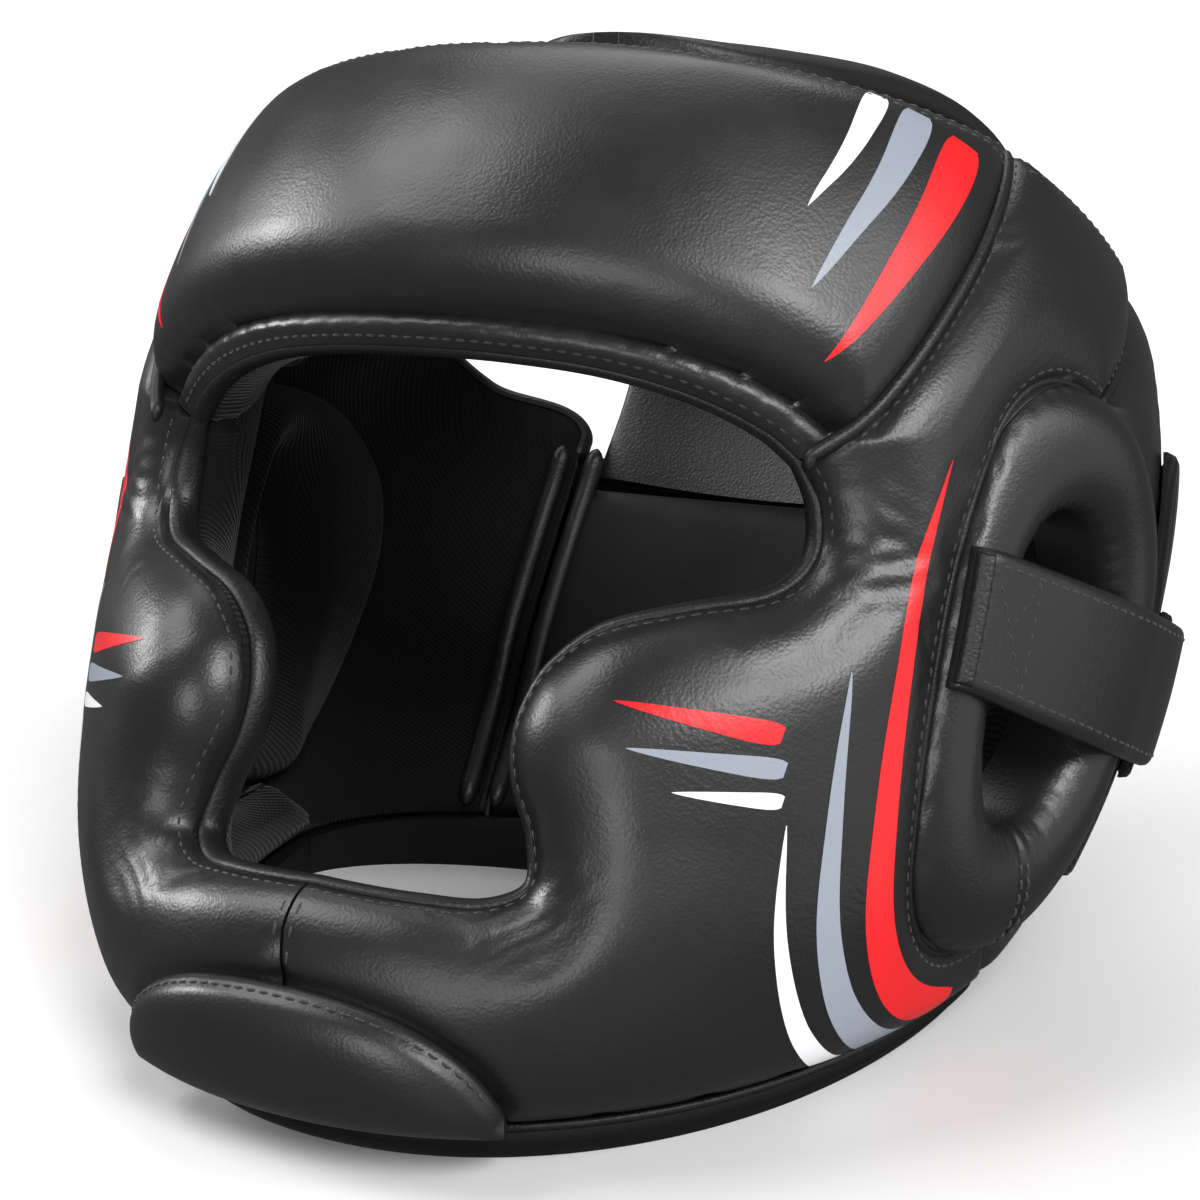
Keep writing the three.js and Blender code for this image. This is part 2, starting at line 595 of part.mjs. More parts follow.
// Pad at the back of the head, between the two panels behind the ears.
function rearPad() {
  const { from, to, low, high, innerRound } = REAR_PAD;
  const placeOn = (s, t) => ({
    angle: THREE.MathUtils.lerp(from, to, t),
    wall: THREE.MathUtils.lerp(low, high, s),
  });
  const borders = [[0, null], [1, null], [null, 0], [null, 1]].map(([s, t]) => (
    border((k) => placeOn(s ?? k, t ?? k), BACK_EDGE_DEPTH, BACK_EDGE_ROLL)
  ));
  const face = (angle, wall) => edgeEffect(angle, wall, borders).depth;
  const back = (angle, wall) => BACK_THICKNESS - innerRound * face(angle, wall);
  const layer = (depth) => grid(places(FACETS.rear.rows), places(FACETS.rear.columns), (s, t) => {
    const { angle, wall } = placeOn(s, t);
    return sunk(angle, wall, depth(angle, wall));
  });
  return solid('rear_pad', layer(face), layer(back), LEATHER);
}

function crownLine() {
  return new THREE.CatmullRomCurve3(CROWN.map(([y, z]) => new THREE.Vector3(0, y * FIT, z * FIT)));
}

// Place on the crown's middle line where it passes a depth from the chin.
function crownPlace(y) {
  const line = crownLine();
  const step = 0.002;
  let at = 1;
  while (line.getPoint(at).y < y * FIT) at -= step;
  return at;
}

// Strap on the crown between two places on its middle line, with rounded borders.
function crownStrap(name, { from, to, rows, top, thickness, halfWidth }) {
  const line = crownLine();
  const point = (s, t, depth) => {
    const at = THREE.MathUtils.lerp(from, to, t);
    const tangent = line.getTangent(at);
    const up = new THREE.Vector3(0, tangent.z, -tangent.y);
    const x = (2 * s - 1) * FIT * halfWidth(t, at);
    return line.getPoint(at).addScaledVector(up, -depth - x ** 2 / (2 * CROWN_CURVE))
      .add(new THREE.Vector3(x, 0, 0));
  };
  const half = thickness / 2;
  const { part, roll } = CROWN_EDGE;
  const bulge = (s) => half * THREE.MathUtils.lerp(part, 1, rounded(Math.min(s, 1 - s), roll));
  const layer = (sign) => grid(places(rows), places(FACETS.crown.columns), (s, t) => (
    point(s, t, top + half - sign * bulge(s))
  ));
  return solid(name, layer(1), layer(-1), LEATHER);
}

function crownRear() {
  const table = numbered(CROWN);
  const { tip, tipWidth } = CROWN_REAR;
  return crownStrap('crown_rear', {
    from: 0,
    to: crownPlace(CROWN_REAR.end),
    rows: CROWN_REAR.rows,
    top: CROWN_INSET,
    thickness: CROWN_THICKNESS,
    halfWidth: (t, at) => smooth(table, 3, at) * THREE.MathUtils.lerp(tipWidth, 1, rounded(1 - t, tip)),
  });
}

function crownFront() {
  return crownStrap('crown_front', {
    from: crownPlace(CROWN_FRONT.start),
    to: 1,
    rows: CROWN_FRONT.rows,
    top: CROWN_INSET + CROWN_THICKNESS + 2 * LAYER_GAP,
    thickness: CROWN_FRONT.thickness,
    halfWidth: () => CROWN_FRONT.halfWidth,
  });
}

// Bound lower edge, flat underneath, that follows the panels' lower border.
function rimBand() {
  const { height, floorInset, middleInset, topInset, bulge } = RIM_BAND;
  const { frontDepth, rearDepth, changeFrom, changeTo, sides } = RIM_BAND;
  const turns = circle(sides);
  const innerDepth = (angle) => {
    const change = THREE.MathUtils.smoothstep(Math.abs(angle - 180), changeFrom, changeTo);
    return THREE.MathUtils.lerp(rearDepth, frontDepth, change);
  };
  const flat = (p) => new THREE.Vector3(p.x, p.y, 0);
  const outer = turns.map((angle) => [
    flat(sunk(angle, 0, floorInset)),
    sunk(angle, height / 2, middleInset),
    sunk(angle, height, topInset),
  ]);
  const inner = turns.map((angle) => [
    flat(sunk(angle, 0, innerDepth(angle))),
    sunk(angle, height / 2, innerDepth(angle) + bulge),
    sunk(angle, height, innerDepth(angle)),
  ]);
  return solid('rim_band', outer, inner, WEBBING, true);
}

const strapHeight = (angle) => smooth(STRAP, 1, angle);
const strapPlace = {
  from: STRAP[0][0],
  to: STRAP[STRAP.length - 1][0],
  low: (angle) => smooth(STRAP, 2, angle),
  high: (angle) => smooth(STRAP, 3, angle),
};
const leftPieces = [
  ...side(),
  ...ear(),
  ...backPanel(),
  wallLayer('ear_strap_left', strapPlace, strapHeight, STRAP_THICKNESS, FACETS.strap, LEATHER),
  wallLayer('strap_tab_left', TAB, () => TAB.height, TAB.thickness, FACETS.tab, WEBBING),
];
const middlePieces = [
  ...forehead(),
  chinPad(),
  rearPad(),
  wallLayer('rear_flap', REAR_FLAP, () => REAR_FLAP.height, REAR_FLAP.thickness, FACETS.flap, WEBBING),
  crownRear(),
  crownFront(),
  rimBand(),
];

const headgear = new THREE.Group();
headgear.position.y = -ORIGIN_Y;
headgear.add(...middlePieces, ...leftPieces);
headgear.add(...leftPieces.map((piece) => mirrored(piece, piece.name.replace('_left', '_right'))));

export default headgear;
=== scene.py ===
"""Full face boxing headgear: padded leather, lining, straps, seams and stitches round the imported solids.

Sizes are in millimetres until a mesh is made. A place on the headgear is an angle (degrees from the front
towards +X) and a wall distance (pattern millimetres up the front). A depth is measured below the outer form.
"""

import math

import bpy
import numpy as np
from mathutils import Matrix, Vector
from mathutils.bvhtree import BVHTree


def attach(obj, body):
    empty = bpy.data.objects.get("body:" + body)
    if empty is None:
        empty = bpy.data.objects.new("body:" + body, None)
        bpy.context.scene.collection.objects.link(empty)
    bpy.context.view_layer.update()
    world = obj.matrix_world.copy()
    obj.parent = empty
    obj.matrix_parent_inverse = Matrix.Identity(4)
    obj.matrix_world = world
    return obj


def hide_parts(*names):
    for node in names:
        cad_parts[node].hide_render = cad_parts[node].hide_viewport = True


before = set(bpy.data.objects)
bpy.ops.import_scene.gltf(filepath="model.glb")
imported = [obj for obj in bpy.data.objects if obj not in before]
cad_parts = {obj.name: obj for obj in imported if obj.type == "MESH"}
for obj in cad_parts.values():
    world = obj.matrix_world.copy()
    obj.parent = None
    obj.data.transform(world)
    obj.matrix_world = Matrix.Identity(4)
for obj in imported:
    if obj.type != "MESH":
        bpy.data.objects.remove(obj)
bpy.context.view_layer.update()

MM = 0.001
FIT = 0.93  # size of this headgear against the pattern tables
ORIGIN_Y = 118.9
BODY = "root"

# Outer form, one row for each tilted section: wall, front y and z, rear y and z, half width,
# place of the widest line, squareness front and rear.
SECTIONS = np.array([
    [0, 0, 0, 147, 0, 97, 0.755, 2.06, 2.1],
    [25, -6, 24, 165, 11, 105.5, 0.68, 2.1, 2.1],
    [50, -3, 49, 181, 22, 112.5, 0.638, 2.12, 2.15],
    [77, 9, 73, 194, 34, 118, 0.61, 2.14, 2.15],
    [105, 22, 99, 206, 46, 121, 0.597, 2.12, 2.15],
    [132, 33, 123, 217, 58, 122.5, 0.585, 2.1, 2.1],
    [157, 44, 145, 227, 69, 123, 0.567, 2.06, 2.1],
    [177, 52, 164, 234, 79, 122.5, 0.552, 2, 2.1],
    [197, 62, 180, 241, 90, 119.5, 0.542, 1.98, 2.1],
    [217, 76, 195.5, 247, 101, 114.5, 0.53, 2, 2.1],
    [237, 93, 207.5, 252, 112, 107, 0.51, 2.08, 2.1],
    [255, 111, 213, 257, 123, 97.5, 0.475, 2.2, 2.1],
])
TOP_OF_FORM = SECTIONS[-1, 0]

# Seams and layers
SEAM_GAP = 0.8
LAYER_GAP = 0.35
STITCHED_EDGE = 1.6
PAD_SPLIT, PAD_THICKNESS = 14, 27
BACK_SPLIT, BACK_THICKNESS = 10, 15
LINING_ROLL, LINING_EDGE = 14, 2
RIM_HEIGHT = 8

# Forehead. Brow columns: angle, wall. Seam columns: part of the seam's height, angle.
BROW = np.array([[0, 170], [11, 170], [22, 169.2], [32, 166.2], [39.5, 161.5], [43.4, 157]])
SEAM = np.array([[0, 43.4], [0.09, 48.3], [0.215, 52.6], [0.43, 58], [0.645, 63], [1, 70]])
BROW_DEPTH, BROW_ROLL, BROW_LEDGE = 11, 24, (8, 0.9, 0.18)
SEAM_DEPTH, SEAM_ROLL = 6, 13
TOP_WALL, TOP_CORNER_WALL = 252, 250
TOP_DEPTH, TOP_ROLL = 5, 12

# Side panel ribs. Columns: angle, wall and depth of the stitched edge, place on the outer border, pull.
RIBS = np.array([
    [0, 61.5, 9.5, 0, 0, 18],
    [12, 60.6, 11, 0.2, 0, 18],
    [19.5, 60.4, 14, 0.34, 0, 18],
    [23.8, 65, 16, 0.48, -2, 18],
    [22.6, 75, 17, 0.64, -5, 18],
    [19.4, 86, 17, 0.82, -10, 18],
    [18.4, 95, 17, 1, -21, 5],
    [19.2, 103, 17, 1.6, -19.5, -1],
    [21.2, 109.5, 17, 2, -17.5, -3.5],
    [26, 117, 16, 2.15, -18, 8],
    [34.5, 122.3, 14, 2.26, -13.5, 14],
    [43, 127, 12.5, 2.39, -7, 10],
    [46.8, 136, 12, 2.46, -6, 14],
    [46.2, 148, 11.5, 2.52, -6, 13],
    [43.4, 157, 11, 2.58, -8.5, 10.5],
])
UPPER_RIBS = np.array([[0, 2.58], [0.09, 2.66], [0.215, 2.79], [0.43, 3], [0.68, 3.5], [1, 4]])
HALF_RIBS = [1.5, 2.5, 3.5, 4.5, 8.5, 9.5, 10.5, 12.5, 13.5]
UPPER_ROWS = 7
SIDE_COLUMNS = 6
RELAX_ROUNDS, ROW_WEIGHT = 6, 0.3
OPENING_ROLL = 25
LOW_SEAM_ANGLE = 93
UPPER_BACK_SEAM_TOP = (106, 238)
SIDE_RIM_DEPTH, SIDE_RIM_ROLL = 7, 14
CHIN_SEAM_DEPTH, CHIN_SEAM_ROLL = 3, 7
EAR_SEAM_DEPTH, EAR_SEAM_ROLL = 4.5, 14

# Ear ring, its hole and the inner cushion: ovals on the wall
EAR_OUTLINE = dict(angle=79, wall=110, half_angle=17.6, half_wall=77, power=2.25, lean=-0.03)
EAR_HOLE = dict(angle=77.2, wall=113, half_angle=8.8, half_wall=42, power=2.2, lean=-0.02)
EAR_CUSHION = dict(angle=91.5, wall=108, half_angle=29.4, half_wall=74, power=2.2, lean=0)
EAR_SEAM_CLEARANCE = (0.4, 0.9)
EAR_SEAM_ENDS = (-105, 108)  # turns where the low seam and the upper back seam leave the ring
EAR_RING_RISE = dict(front=-0.4, rear=5.2, change=(64, 84))
EAR_RING_SPLIT = 15.6
EAR_CUSHION_DEPTH, EAR_CUSHION_EDGE = 28, 17.5

CHIN_PAD = dict(half_angle=26, bottom=9, height=31.5, power=2.3, ends=0.985, rise=5.8, edge=0.3, roll=11,
                clear=0.6, hem=0.8, hem_roll=15)
# Ear strap. Columns: angle, height of its underside, wall of its lower and upper edge.
STRAP = np.array([
    [61.7, -1.9, 108.4, 142.4], [63.2, 0, 107.6, 142], [65.2, 0.6, 106.4, 141.4], [70, 1.2, 103, 139.5],
    [78, 3.2, 97.5, 136.3], [87, 5.7, 91.5, 132.7], [92, 6.1, 89, 131], [98, 6.9, 87, 129.8],
    [101, 7.1, 86.3, 129.3], [112, 7.1, 85, 128.5],
])
STRAP_THICKNESS = 2.3
TAB = dict(start=100.8, end=117, low=81, high=133, height=4.15, thickness=2.3)
# Panels behind the ears. Columns: turn on the ear ring, angle and wall of the outer border.
BACK_RIBS = np.array([
    [108, 106, 238], [125, 118, 219], [142, 133, 200], [160, 150, 184], [180, 150, 110],
    [203, 150, 50], [222, 150, 8], [239, 120, 8], [255, 93, 8],
])
BACK_EDGE_ANGLE, BACK_EDGE_DEPTH, BACK_EDGE_ROLL = 150, 4.5, 10
BACK_RING_DEPTH, BACK_END_MARGIN = 5, 0.006
REAR_PAD = dict(start=150.45, end=209.55, low=8, high=160, inner_round=1.2)
REAR_FLAP = dict(start=100, end=260, low=47, high=180, height=0.8, thickness=3)

# Crown straps. Columns: y and z of the middle line, half width of the rear strap.
CROWN = np.array([
    [228.9, 71.4, 55], [246, 92, 54], [260, 114, 54], [270, 137, 54], [272, 156, 53], [264, 172, 51],
    [246, 185, 48], [218, 195, 44], [186, 201.5, 40], [156, 206.5, 37], [136, 210.5, 36], [120.4, 213.4, 36],
])
CROWN_CURVE, CROWN_THICKNESS, CROWN_INSET = 160, 8, 1
CROWN_REAR = dict(end=146, tip=0.16, tip_width=0.12)
CROWN_FRONT = dict(start=205, half_width=36, thickness=7)
CROWN_EDGE = dict(part=0.35, roll=0.133)
RIM_BAND = dict(height=6.9, floor=3.5, middle=2.6, top=4.6, front=17, rear=11, bulge=1.6, change=(75, 95))


def mix(a, b, t):
    return a + (b - a) * t


def smooth_step(x, low, high):
    t = np.clip((x - low) / (high - low), 0, 1)
    return t * t * (3 - 2 * t)


def curve(t, start, end, leave, arrive):
    """Cubic between two values with their slopes."""
    first = (2 * t**3 - 3 * t**2 + 1) * start + (t**3 - 2 * t**2 + t) * leave
    return first + (3 * t**2 - 2 * t**3) * end + (t**3 - t**2) * arrive


def smooth(rows, column, at):
    """Smooth value through a table's rows, with slopes from the neighbouring rows."""
    knots, values = rows[:, 0], rows[:, column]
    count = np.arange(len(knots))
    before, after = np.maximum(count - 1, 0), np.minimum(count + 1, len(knots) - 1)
    slope = (values[after] - values[before]) / (knots[after] - knots[before])
    x = np.clip(at, knots[0], knots[-1])
    i = np.clip(np.searchsorted(knots, x, side="left") - 1, 0, len(knots) - 2)
    span = knots[i + 1] - knots[i]
    return curve((x - knots[i]) / span, values[i], values[i + 1], span * slope[i], span * slope[i + 1])


def numbered(rows):
    """Rows numbered from 0 to 1, so that a table without a measure of its own can be followed."""
    return np.column_stack([np.linspace(0, 1, len(rows)), rows])


def form(angle, wall):
    """Points of the outer form."""
    angle, wall = np.broadcast_arrays(np.asarray(angle, float), np.asarray(wall, float))
    values = [smooth(SECTIONS, column, wall) for column in range(1, SECTIONS.shape[1])]
    front_y, front_z, rear_y, rear_z, half_width, widest, front_power, rear_power = values
    side, along = np.sin(np.radians(angle)), -np.cos(np.radians(angle))
    ahead = along < 0
    power = np.where(ahead, front_power, rear_power)
    reach = (np.abs(side) ** power + np.abs(along) ** power) ** (-1 / power)
    middle_y, middle_z = mix(front_y, rear_y, widest), mix(front_z, rear_z, widest)
    part = np.abs(along) * reach
    y = mix(middle_y, np.where(ahead, front_y, rear_y), part)
    z = mix(middle_z, np.where(ahead, front_z, rear_z), part)
    return FIT * np.stack([half_width * side * reach, y, z], -1)


def unit(vectors):
    return vectors / np.maximum(np.linalg.norm(vectors, axis=-1, keepdims=True), 1e-12)


def normal(angle, wall, step=0.5):
    angle, wall = np.asarray(angle, float), np.asarray(wall, float)
    across = form(angle + step, wall) - form(angle - step, wall)
    up = form(angle, np.minimum(wall + step, TOP_OF_FORM)) - form(angle, np.maximum(wall - step, 0))
    return unit(np.cross(across, up))


def sunk(angle, wall, depth):
    """Points below the outer form along its normal, or above it with a negative depth."""
    return form(angle, wall) - np.asarray(depth, float)[..., None] * normal(angle, wall)


def rounded(distance, reach):
    """Quarter-round profile: 0 on the edge, 1 from the reach inwards."""
    t = np.clip(distance / reach, 0, 1)
    return np.sqrt(1 - (1 - t) ** 2)


def places(count, draw=0.5):
    """Places from 0 to 1, drawn towards both ends where edges are rounded."""
    even = np.linspace(0, 1, count + 1)
    return mix(even, 0.5 - 0.5 * np.cos(np.pi * even), draw)


def nearest(at, line, chunk=2000):
    """Distance from each point to a line of points, and the place on it as row and fraction."""
    start, step = line[:-1], np.diff(line, axis=0)
    length2 = np.maximum((step**2).sum(-1), 1e-12)
    distance, place = np.empty(len(at)), np.empty(len(at))
    for low in range(0, len(at), chunk):
        to = at[low:low + chunk, None] - start
        t = np.clip((to * step).sum(-1) / length2, 0, 1)
        gap = np.linalg.norm(to - t[..., None] * step, axis=-1)
        best = gap.argmin(1)
        row = np.arange(len(best))
        distance[low:low + chunk] = gap[row, best]
        place[low:low + chunk] = best + t[row, best]
    return distance, place


def grid_faces(number):
    """Faces between the neighbouring points of a grid of point numbers."""
    corners = [number[:-1, :-1], number[:-1, 1:], number[1:, 1:], number[1:, :-1]]
    return np.stack(corners, -1).reshape(-1, 4)


class Border:
    """A panel's border: its line on the outer form, depth and reach of its rounding.

    A ledge is a stitched strip along the border: its width, the part of the depth left at its crease
    and its swell.
    """

    def __init__(self, angle, wall, depth, roll, ledge=None):
        self.line = form(angle, wall)
        self.depth = np.broadcast_to(np.asarray(depth, float), len(self.line))
        self.roll, self.ledge = roll, ledge
        steps = np.linalg.norm(np.diff(self.line, axis=0), axis=-1)
        self.arc = np.concatenate([[0], np.cumsum(steps)])

    def profile(self, distance):
        """Part of the border's depth that is left at a distance from it."""
        if not self.ledge:
            return 1 - rounded(distance, self.roll)
        width, end, swell = self.ledge
        k = np.clip(distance / width, 0, 1)
        strip = 1 - (1 - end) * k - swell * np.sin(np.pi * k)
        return np.where(distance < width, strip, end * (1 - rounded(distance - width, self.roll - width)))

    def effect(self, at):
        """Distance, length along the border and depth given by it, at points of the outer form."""
        distance, place = nearest(at, self.line)
        rows = np.arange(len(self.line))
        depth = np.interp(place, rows, self.depth) * self.profile(distance)
        return distance, np.interp(place, rows, self.arc), depth


class Panel:
    """A padded panel: its leather face, the join behind it and its lining face, as depths."""

    def __init__(self, borders, split, thickness, detail=None):
        self.borders, self.split, self.thickness, self.detail = borders, split, thickness, detail

    def faces(self, angle, wall):
        angle, wall = np.broadcast_arrays(np.asarray(angle, float), np.asarray(wall, float))
        at = form(angle, wall).reshape(-1, 3)
        effects = [border.effect(at) for border in self.borders]
        distance = np.min([effect[0] for effect in effects], axis=0)
        leather = np.max([effect[2] for effect in effects], axis=0)
        join = np.maximum(self.split, leather + STITCHED_EDGE)
        start = join + LAYER_GAP + LINING_EDGE
        lining = mix(start, np.maximum(self.thickness, start), rounded(distance, LINING_ROLL))
        if self.detail:
            leather = leather + self.detail(angle.ravel(), wall.ravel(), effects)
        return [face.reshape(angle.shape) for face in (leather, join, lining)]

    def grow(self, face):
        """Keep the finished leather face, so that stitches and prints can be laid on it."""
        rows, columns = face.shape[:2]
        number = np.arange(rows * columns).reshape(rows, columns)
        self.tree = BVHTree.FromPolygons(face.reshape(-1, 3).tolist(), grid_faces(number).tolist())

    def laid(self, angle, wall, above=20.0):
        """Points on the finished leather under places, and the directions that stand up from it."""
        outward = normal(angle, wall).reshape(-1, 3)
        start = form(angle, wall).reshape(-1, 3) + above * outward
        points, ups = np.empty_like(start), outward.copy()
        for k in range(len(start)):
            hit, up, _, _ = self.tree.ray_cast(start[k], -outward[k], 3 * above)
            if hit is None:
                hit, up, _, _ = self.tree.find_nearest(start[k] - above * outward[k])
            points[k] = hit
            ups[k] = np.array(up) * (1 if np.dot(up, outward[k]) >= 0 else -1)
        return points.reshape(*np.shape(angle), 3), unit(ups + 0.5 * outward).reshape(*np.shape(angle), 3)


def solid(outer, inner, ring=False):
    """Points and faces of the closed solid between two grids of points, which may close to a ring."""
    rows, columns = outer.shape[:2]
    number = np.arange(rows * columns).reshape(rows, columns)
    if ring:
        number = np.vstack([number, number[:1]])
    back = number + rows * columns

    def edge(a, b):
        return np.stack([a[:-1], a[1:], b[1:], b[:-1]], -1)

    faces = [grid_faces(number), grid_faces(back)[:, ::-1], edge(number[:, 0], back[:, 0])]
    faces.append(edge(number[:, -1], back[:, -1])[:, ::-1])
    if not ring:
        faces += [edge(number[0], back[0])[:, ::-1], edge(number[-1], back[-1])]
    return np.concatenate([outer.reshape(-1, 3), inner.reshape(-1, 3)]), [np.concatenate(faces)]


def loop_faces(rows, columns, closed):
    """Faces of a grid whose columns close on themselves, as round a tube."""
    number = np.arange(rows * columns).reshape(rows, columns)
    number = np.hstack([number, number[:, :1]])
    if closed:
        number = np.vstack([number, number[:1]])
    return grid_faces(number)


def tube(path, up, radius, height=None, sides=10, closed=False):
    """Points and faces of a tube along a path, flattened to a height along the up directions."""
    height = radius if height is None else height
    radius, height = (np.broadcast_to(size, len(path))[:, None, None] for size in (radius, height))
    if closed:
        tangent = unit(np.roll(path, -1, 0) - np.roll(path, 1, 0))
    else:
        tangent = unit(np.gradient(path, axis=0))
    side = unit(np.cross(tangent, up))
    top = np.cross(side, tangent)
    size = np.ones(len(path))
    if not closed:
        round_end = min(6, len(path) // 3)
        size[:round_end] = rounded(np.arange(round_end) + 0.05, round_end)
        size[-round_end:] = size[:round_end][::-1]
    turn = np.linspace(0, 2 * np.pi, sides, endpoint=False)
    around = radius * np.cos(turn)[:, None] * side[:, None] + height * np.sin(turn)[:, None] * top[:, None]
    points = path[:, None] + size[:, None, None] * around
    faces = [loop_faces(len(path), sides, closed)]
    if not closed:
        first = np.arange(sides)
        faces.append(np.array([first[::-1], first + (len(path) - 1) * sides]))
    return points.reshape(-1, 3), faces


def measured(path, count):
    """A path's points again, evenly spaced."""
    arc = np.concatenate([[0], np.cumsum(np.linalg.norm(np.diff(path, axis=0), axis=-1))])
    at = np.linspace(0, arc[-1], count)
    return np.stack([np.interp(at, arc, path[:, k]) for k in range(path.shape[1])], -1), arc[-1]


def even_tube(path, up, count, radius, height=None, sides=10):
    """A tube whose rings are evenly spaced along its path."""
    both, _ = measured(np.hstack([path, up]), count)
    return tube(both[:, :3], both[:, 3:], radius, height, sides)


STITCH = dict(pitch=3.6, length=2.7, radius=0.42, sides=6)
FINE = dict(pitch=2.9, length=2.2, radius=0.34)
STITCH_SAMPLES = 400
# Rings of one stitch. Columns: place along it, thickness, how far it dips.
STITCH_RINGS = np.array([
    [-1, 0.15, -1.2], [-0.75, 0.8, -0.55], [0, 1, -0.25], [0.75, 0.8, -0.55], [1, 0.15, -1.2],
])


def stitches(path, up, pitch=STITCH["pitch"], length=STITCH["length"], radius=STITCH["radius"]):
    """A row of thread stitches along a path on a surface: short beads whose ends dip in."""
    both, total = measured(np.hstack([path, up]), STITCH_SAMPLES)
    count = max(int(total / pitch), 1)
    centre = np.linspace(0, STITCH_SAMPLES - 1, 2 * count + 1)[1::2]
    rows = np.arange(STITCH_SAMPLES)
    at = np.stack([np.interp(centre, rows, both[:, k]) for k in range(6)], -1)
    tangent = unit(np.gradient(both[:, :3], axis=0))
    along = unit(np.stack([np.interp(centre, rows, tangent[:, k]) for k in range(3)], -1))
    side = unit(np.cross(along, at[:, 3:]))
    top = np.cross(side, along)
    sides = STITCH["sides"]
    turn = np.linspace(0, 2 * np.pi, sides, endpoint=False)
    x = np.repeat(STITCH_RINGS[:, 0] * length / 2, sides)
    y = radius * np.outer(STITCH_RINGS[:, 1], np.cos(turn)).ravel()
    z = radius * (np.outer(STITCH_RINGS[:, 1], np.sin(turn)) + STITCH_RINGS[:, 2:]).ravel()
    parts = (x, along), (y, side), (z, top)
    points = at[:, None, :3] + sum(size[:, None] * way[:, None] for size, way in parts)
    bead = loop_faces(len(STITCH_RINGS), sides, False)
    first = np.arange(sides)
    caps = np.array([first[::-1], first + (len(STITCH_RINGS) - 1) * sides])
    start = np.arange(count)[:, None, None] * len(x)
    return points.reshape(-1, 3), [(bead + start).reshape(-1, 4), (caps + start).reshape(-1, sides)]


def joined(shapes):
    """Several shapes as one."""
    points, faces, start = [], {}, 0
    for shape_points, shape_faces in shapes:
        points.append(shape_points)
        for group in shape_faces:
            faces.setdefault(group.shape[1], []).append(group + start)
        start += len(shape_points)
    return np.concatenate(points), [np.concatenate(groups) for groups in faces.values()]


def flipped(shape):
    """Mirror image of a shape, for the wearer's other side."""
    points, faces = shape
    return points * [-1, 1, 1], [group[:, ::-1] for group in faces]


def volume(points, faces):
    total = 0.0
    for group in faces:
        for k in range(1, group.shape[1] - 1):
            a, b, c = points[group[:, 0]], points[group[:, k]], points[group[:, k + 1]]
            total += np.einsum("ij,ij->", a, np.cross(b, c))
    return total


def make(name, shape, material, node=None, cloth=None, sharp=55):
    """A piece of the headgear from points and faces, attached to the root body, with the imported part that
    it stands for hidden.
    """
    points, faces = shape
    if volume(points - points.mean(0), faces) < 0:
        faces = [group[:, ::-1] for group in faces]
    mesh = bpy.data.meshes.new(name)
    mesh.vertices.add(len(points))
    mesh.vertices.foreach_set("co", ((points - [0, ORIGIN_Y, 0]) * MM).astype(np.float32).ravel())
    corners = np.concatenate([group.ravel() for group in faces])
    sizes = np.concatenate([np.full(len(group), group.shape[1]) for group in faces])
    mesh.loops.add(len(corners))
    mesh.loops.foreach_set("vertex_index", corners.astype(np.int32))
    mesh.polygons.add(len(sizes))
    mesh.polygons.foreach_set("loop_start", (np.cumsum(sizes) - sizes).astype(np.int32))
    mesh.polygons.foreach_set("use_smooth", np.ones(len(sizes), bool))
    mesh.update(calc_edges=True)
    mesh.set_sharp_from_angle(angle=math.radians(sharp))
    if cloth is not None:
        attribute = mesh.attributes.new("cloth", "FLOAT_VECTOR", "POINT")
        attribute.data.foreach_set("vector", cloth.astype(np.float32).ravel())
    mesh.materials.append(material)
    piece = bpy.data.objects.new(name, mesh)
    bpy.context.scene.collection.objects.link(piece)
    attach(piece, BODY)
    if node:
        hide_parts(node)
    return piece


def make_pair(name, shape, material, node=None, cloth=None, sharp=55):
    """A piece on the wearer's left and its mirror image on the right."""
    for side, one in (("left", shape), ("right", flipped(shape))):
        make(f"{name}_{side}", one, material, node and f"{node}_{side}", cloth, sharp)


def woven(angle, wall):
    """Millimetres along and up the wall, which a knit or weave follows, for both faces of a solid."""
    angle, wall = np.broadcast_arrays(angle, wall)
    half_width = smooth(SECTIONS, 5, wall)
    measures = [np.radians(angle) * half_width * FIT, wall * FIT, np.zeros_like(wall)]
    flat = np.stack(measures, -1).reshape(-1, 3)
    return np.concatenate([flat, flat])


def shader(name, base, roughness, **constants):
    """A material whose constants stand on its shader's own sockets."""
    material = bpy.data.materials.new(name)
    material.use_nodes = True
    tree = material.node_tree
    surface = tree.nodes["Principled BSDF"]
    surface.inputs["Base Color"].default_value = (*base, 1)
    surface.inputs["Roughness"].default_value = roughness
    for socket, value in constants.items():
        surface.inputs[socket.replace("_", " ")].default_value = value
    return material, tree, surface


def node(tree, kind, inputs=(), **settings):
    """First output of a node made with its settings, values and links."""
    made = tree.nodes.new(kind)
    for key, value in settings.items():
        setattr(made, key, value)
    for key, value in dict(inputs).items():
        if isinstance(value, bpy.types.NodeSocket):
            tree.links.new(value, made.inputs[key])
        else:
            made.inputs[key].default_value = value
    return made.outputs[0]


def math_node(tree, operation, *values):
    return node(tree, "ShaderNodeMath", dict(enumerate(values)), operation=operation)


def summed(tree, *parts):
    """Sum of outputs with their weights."""
    total = None
    for output, weight in parts:
        term = math_node(tree, "MULTIPLY", output, weight)
        total = term if total is None else math_node(tree, "ADD", total, term)
    return total


def bumped(tree, surface, height, strength, distance):
    bump = node(tree, "ShaderNodeBump", {"Height": height, "Strength": strength, "Distance": distance})
    tree.links.new(bump, surface.inputs["Normal"])


def varied(tree, place, scale, low, high):
    """Slow change between two values over a surface."""
    noise = node(tree, "ShaderNodeTexNoise", {"Vector": place, "Scale": scale, "Detail": 2.0})
    spread = {"Value": noise, "From Min": 0.3, "From Max": 0.7, "To Min": low, "To Max": high}
    return node(tree, "ShaderNodeMapRange", spread)


